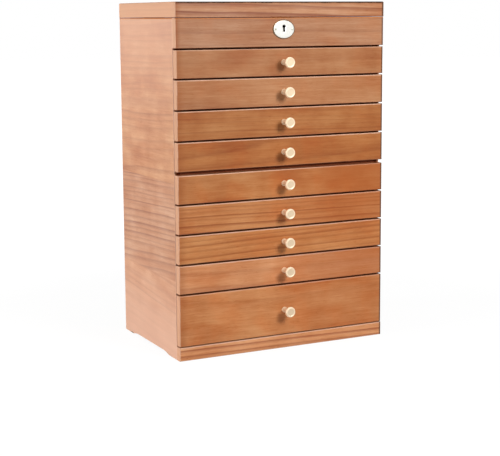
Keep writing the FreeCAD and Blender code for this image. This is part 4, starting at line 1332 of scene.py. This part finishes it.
class CHEST_OT_line_tray(ChestOperator):
    """Line the top tray with velvet and put in its dividers"""

    bl_idname = "chest.line_tray"
    bl_label = "Line tray"

    def execute(self, context):
        bottom = line_box("tray_velvet", "tray_lining", "case", context) - LINER_INTO_PAD
        low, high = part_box("tray_dividers")
        back = low.y + SLAT_THICKNESS
        slat("tray_slat_long", (low.x, low.y, bottom), (high.x, back, high.z), "case", context,
             ["tray_dividers"])
        cross_slats("tray_slat", high.x, back, high.y, bottom, high.z, "case", context)
        return {"FINISHED"}


class CHEST_OT_fit_mirror(ChestOperator):
    """Fit the bevelled mirror and its padded surround under the lid"""

    bl_idname = "chest.fit_mirror"
    bl_label = "Fit mirror"

    def execute(self, context):
        low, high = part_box("lid_mirror")
        pane = slab("mirror_pane", low, high, PANE_ROUND, no_lift, 3, (2, 2))
        place(pane, mirror_glass(), "lid", "mirror_glass", ["lid_mirror"])
        low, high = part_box("mirror_surround")
        section = rounded_section(SURROUND_WIDTH, -high.z, -low.z, SURROUND_ROUND)
        section[:, 1] *= -1
        strip = band("mirror_surround_velvet", low, high, section)
        place(strip, lining_velvet(context), "lid", "velvet", ["mirror_surround"])
        return {"FINISHED"}


# Studio


AIM = Vector((0.0, 0.0, 0.25))
CAMERA_PLACE = Vector((-0.7954, -1.5930, 0.4604))
CAMERA_YAW = 26.392
CAMERA_PITCH = -8.322
CAMERA_ROLL = -0.360
CAMERA_SHIFT = -0.06
FLOOR_BELOW_FEET = 0.0002
FLOOR_SIDES = 64


def seen_from(azimuth, elevation, distance):
    """The place from which the chest is seen at an azimuth from the front's normal, positive to the right."""
    a, e = math.radians(azimuth), math.radians(elevation)
    return AIM + distance * Vector((math.sin(a) * math.cos(e), -math.cos(a) * math.cos(e), math.sin(e)))


def softbox(name, place, size, share):
    """An area lamp aimed at the chest. Share 1 lights a white surface that faces it to white.

    That takes the square of pi times the distance in metres, in watts.
    """
    lamp = bpy.data.lights.new(name, "AREA")
    lamp.shape = "RECTANGLE"
    lamp.size, lamp.size_y = size
    aim = AIM - place
    lamp.energy = share * (math.pi * aim.length) ** 2
    holder = bpy.data.objects.new(name, lamp)
    holder.location = place
    holder.rotation_euler = aim.to_track_quat("-Z", "Y").to_euler()
    holder.visible_camera = False
    bpy.context.scene.collection.objects.link(holder)


def shown_rays(tree):
    """1 for the rays that show the background: camera, glossy and transmission rays."""
    path = tree.node("ShaderNodeLightPath").outputs
    shown = tree.math("MAXIMUM", path["Is Camera Ray"], path["Is Glossy Ray"])
    return tree.math("MAXIMUM", shown, path["Is Transmission Ray"])


class CHEST_OT_set_up_studio(ChestOperator):
    """Put the chest on a pale floor with soft lamps and the camera"""

    bl_idname = "chest.set_up_studio"
    bl_label = "Set up studio"

    def execute(self, context):
        settings = context.scene.chest_studio
        context.scene.view_settings.view_transform = "Standard"
        self.camera(context, settings)
        softbox("key_lamp", Vector((0.25, -1.15, 0.74)), (0.36, 0.36), settings.key)
        softbox("side_lamp", seen_from(-96.0, 14.0, 2.4), (1.4, 1.6), settings.side)
        softbox("top_lamp", seen_from(10.0, 80.0, 2.0), (1.4, 1.4), settings.top)
        softbox("edge_lamp", seen_from(206.0, 5.0, 2.2), (1.0, 0.5), 0.10)
        self.room(context, settings)
        self.floor()
        return {"FINISHED"}

    def camera(self, context, settings):
        """A basis of right, up and backward, turned by yaw, pitch and roll, makes the camera's matrix."""
        yaw, pitch, roll = (math.radians(angle) for angle in (CAMERA_YAW, CAMERA_PITCH, CAMERA_ROLL))
        forward = Vector((math.sin(yaw) * math.cos(pitch), math.cos(yaw) * math.cos(pitch), math.sin(pitch)))
        right = Vector((math.cos(yaw), -math.sin(yaw), 0.0))
        up = right.cross(forward)
        level = math.cos(roll) * right + math.sin(roll) * up
        upright = -math.sin(roll) * right + math.cos(roll) * up
        data = bpy.data.cameras.new("camera")
        data.sensor_width = 36.0
        data.lens = settings.lens
        data.shift_y = CAMERA_SHIFT
        holder = bpy.data.objects.new("camera", data)
        turn = Matrix((level, upright, -forward)).transposed().to_4x4()
        holder.matrix_world = Matrix.Translation(CAMERA_PLACE) @ turn
        context.scene.collection.objects.link(holder)
        context.scene.camera = holder

    def room(self, context, settings):
        """White to the rays that show it, and soft room light to the rest."""
        world = bpy.data.worlds.new("studio")
        world.use_nodes = True
        tree = Tree(world.node_tree)
        light = tree.blend(shown_rays(tree), grey(settings.room), grey(1.0))
        tree.feed(world.node_tree.nodes["Background"].inputs["Color"], light)
        context.scene.world = world

    def floor(self):
        """A wide flat disc just under the feet: rings of points, with one face over the middle.

        Near the chest it is pale and keeps the shadow, and further out it glows white like the background.
        """
        radius = np.array([0.0005, 0.3, 0.8, 2.0, 5.0, 12.0])
        angle = np.linspace(0, 2 * math.pi, FLOOR_SIDES, endpoint=False)
        x, y = radius[:, None] * np.cos(angle), radius[:, None] * np.sin(angle)
        grid = np.stack([x, y, np.full_like(x, -FLOOR_BELOW_FEET)], -1)
        faces = grid_faces(*grid.shape[:2], False, True).tolist() + [list(range(FLOOR_SIDES))]
        mesh = bpy.data.meshes.new("floor")
        mesh.from_pydata(grid.reshape(-1, 3).tolist(), [], faces)
        floor = bpy.data.objects.new("floor", mesh)
        bpy.context.scene.collection.objects.link(floor)
        material, tree, shader = new_material("pale_floor")
        shader.inputs["Base Color"].default_value = (0.55, 0.55, 0.55, 1.0)
        shader.inputs["Roughness"].default_value = 0.8
        shader.inputs["Specular IOR Level"].default_value = 0.1
        far = tree.ease(tree.vector("LENGTH", object_position(tree)), 0.4, 1.0, 0.85, 1.0)
        glow = tree.node("ShaderNodeEmission")
        glow.inputs["Color"].default_value = (1.0, 1.0, 1.0, 1.0)
        glow.inputs["Strength"].default_value = 1.10
        mix = tree.node("ShaderNodeMixShader", tree.math("MULTIPLY", far, shown_rays(tree)),
                        shader.outputs[0], glow.outputs[0])
        tree.feed(material.node_tree.nodes["Material Output"].inputs["Surface"], mix.outputs[0])
        mesh.materials.append(material)


STEPS = (
    CHEST_OT_finish_case,
    CHEST_OT_finish_fronts,
    CHEST_OT_finish_boxes,
    CHEST_OT_finish_lid,
    CHEST_OT_turn_knobs,
    CHEST_OT_fit_escutcheon,
    CHEST_OT_finish_metalwork,
    CHEST_OT_line_drawers,
    CHEST_OT_line_tray,
    CHEST_OT_fit_mirror,
    CHEST_OT_set_up_studio,
)
SETTINGS = {
    "chest_wood": ChestWoodSettings,
    "chest_metal": ChestMetalSettings,
    "chest_lining": ChestLiningSettings,
    "chest_studio": ChestStudioSettings,
}


class CHEST_PT_steps(Panel):
    """The steps in order, and the sizes and colours that they use."""

    bl_idname = "CHEST_PT_steps"
    bl_label = "Jewellery chest"
    bl_space_type = "VIEW_3D"
    bl_region_type = "UI"
    bl_category = "Chest"

    def draw(self, context):
        for step in STEPS:
            self.layout.operator(step.bl_idname)
        for name, settings in SETTINGS.items():
            group = getattr(context.scene, name)
            column = self.layout.column(align=True)
            for prop in settings.__annotations__:
                column.prop(group, prop)


def register():
    for made in (*SETTINGS.values(), *STEPS, CHEST_PT_steps):
        bpy.utils.register_class(made)
    for name, settings in SETTINGS.items():
        setattr(bpy.types.Scene, name, PointerProperty(type=settings))


def unregister():
    for name in SETTINGS:
        delattr(bpy.types.Scene, name)
    for made in (CHEST_PT_steps, *reversed(STEPS), *reversed(list(SETTINGS.values()))):
        bpy.utils.unregister_class(made)


def run_step(step):
    """Calls a step by its name and stops the script if it didn't finish."""
    family, name = step.bl_idname.split(".")
    if getattr(getattr(bpy.ops, family), name)() != {"FINISHED"}:
        raise RuntimeError(f"{step.bl_idname} did not finish")


def main():
    register()
    for step in STEPS:
        run_step(step)


if __name__ == "__main__":
    main()
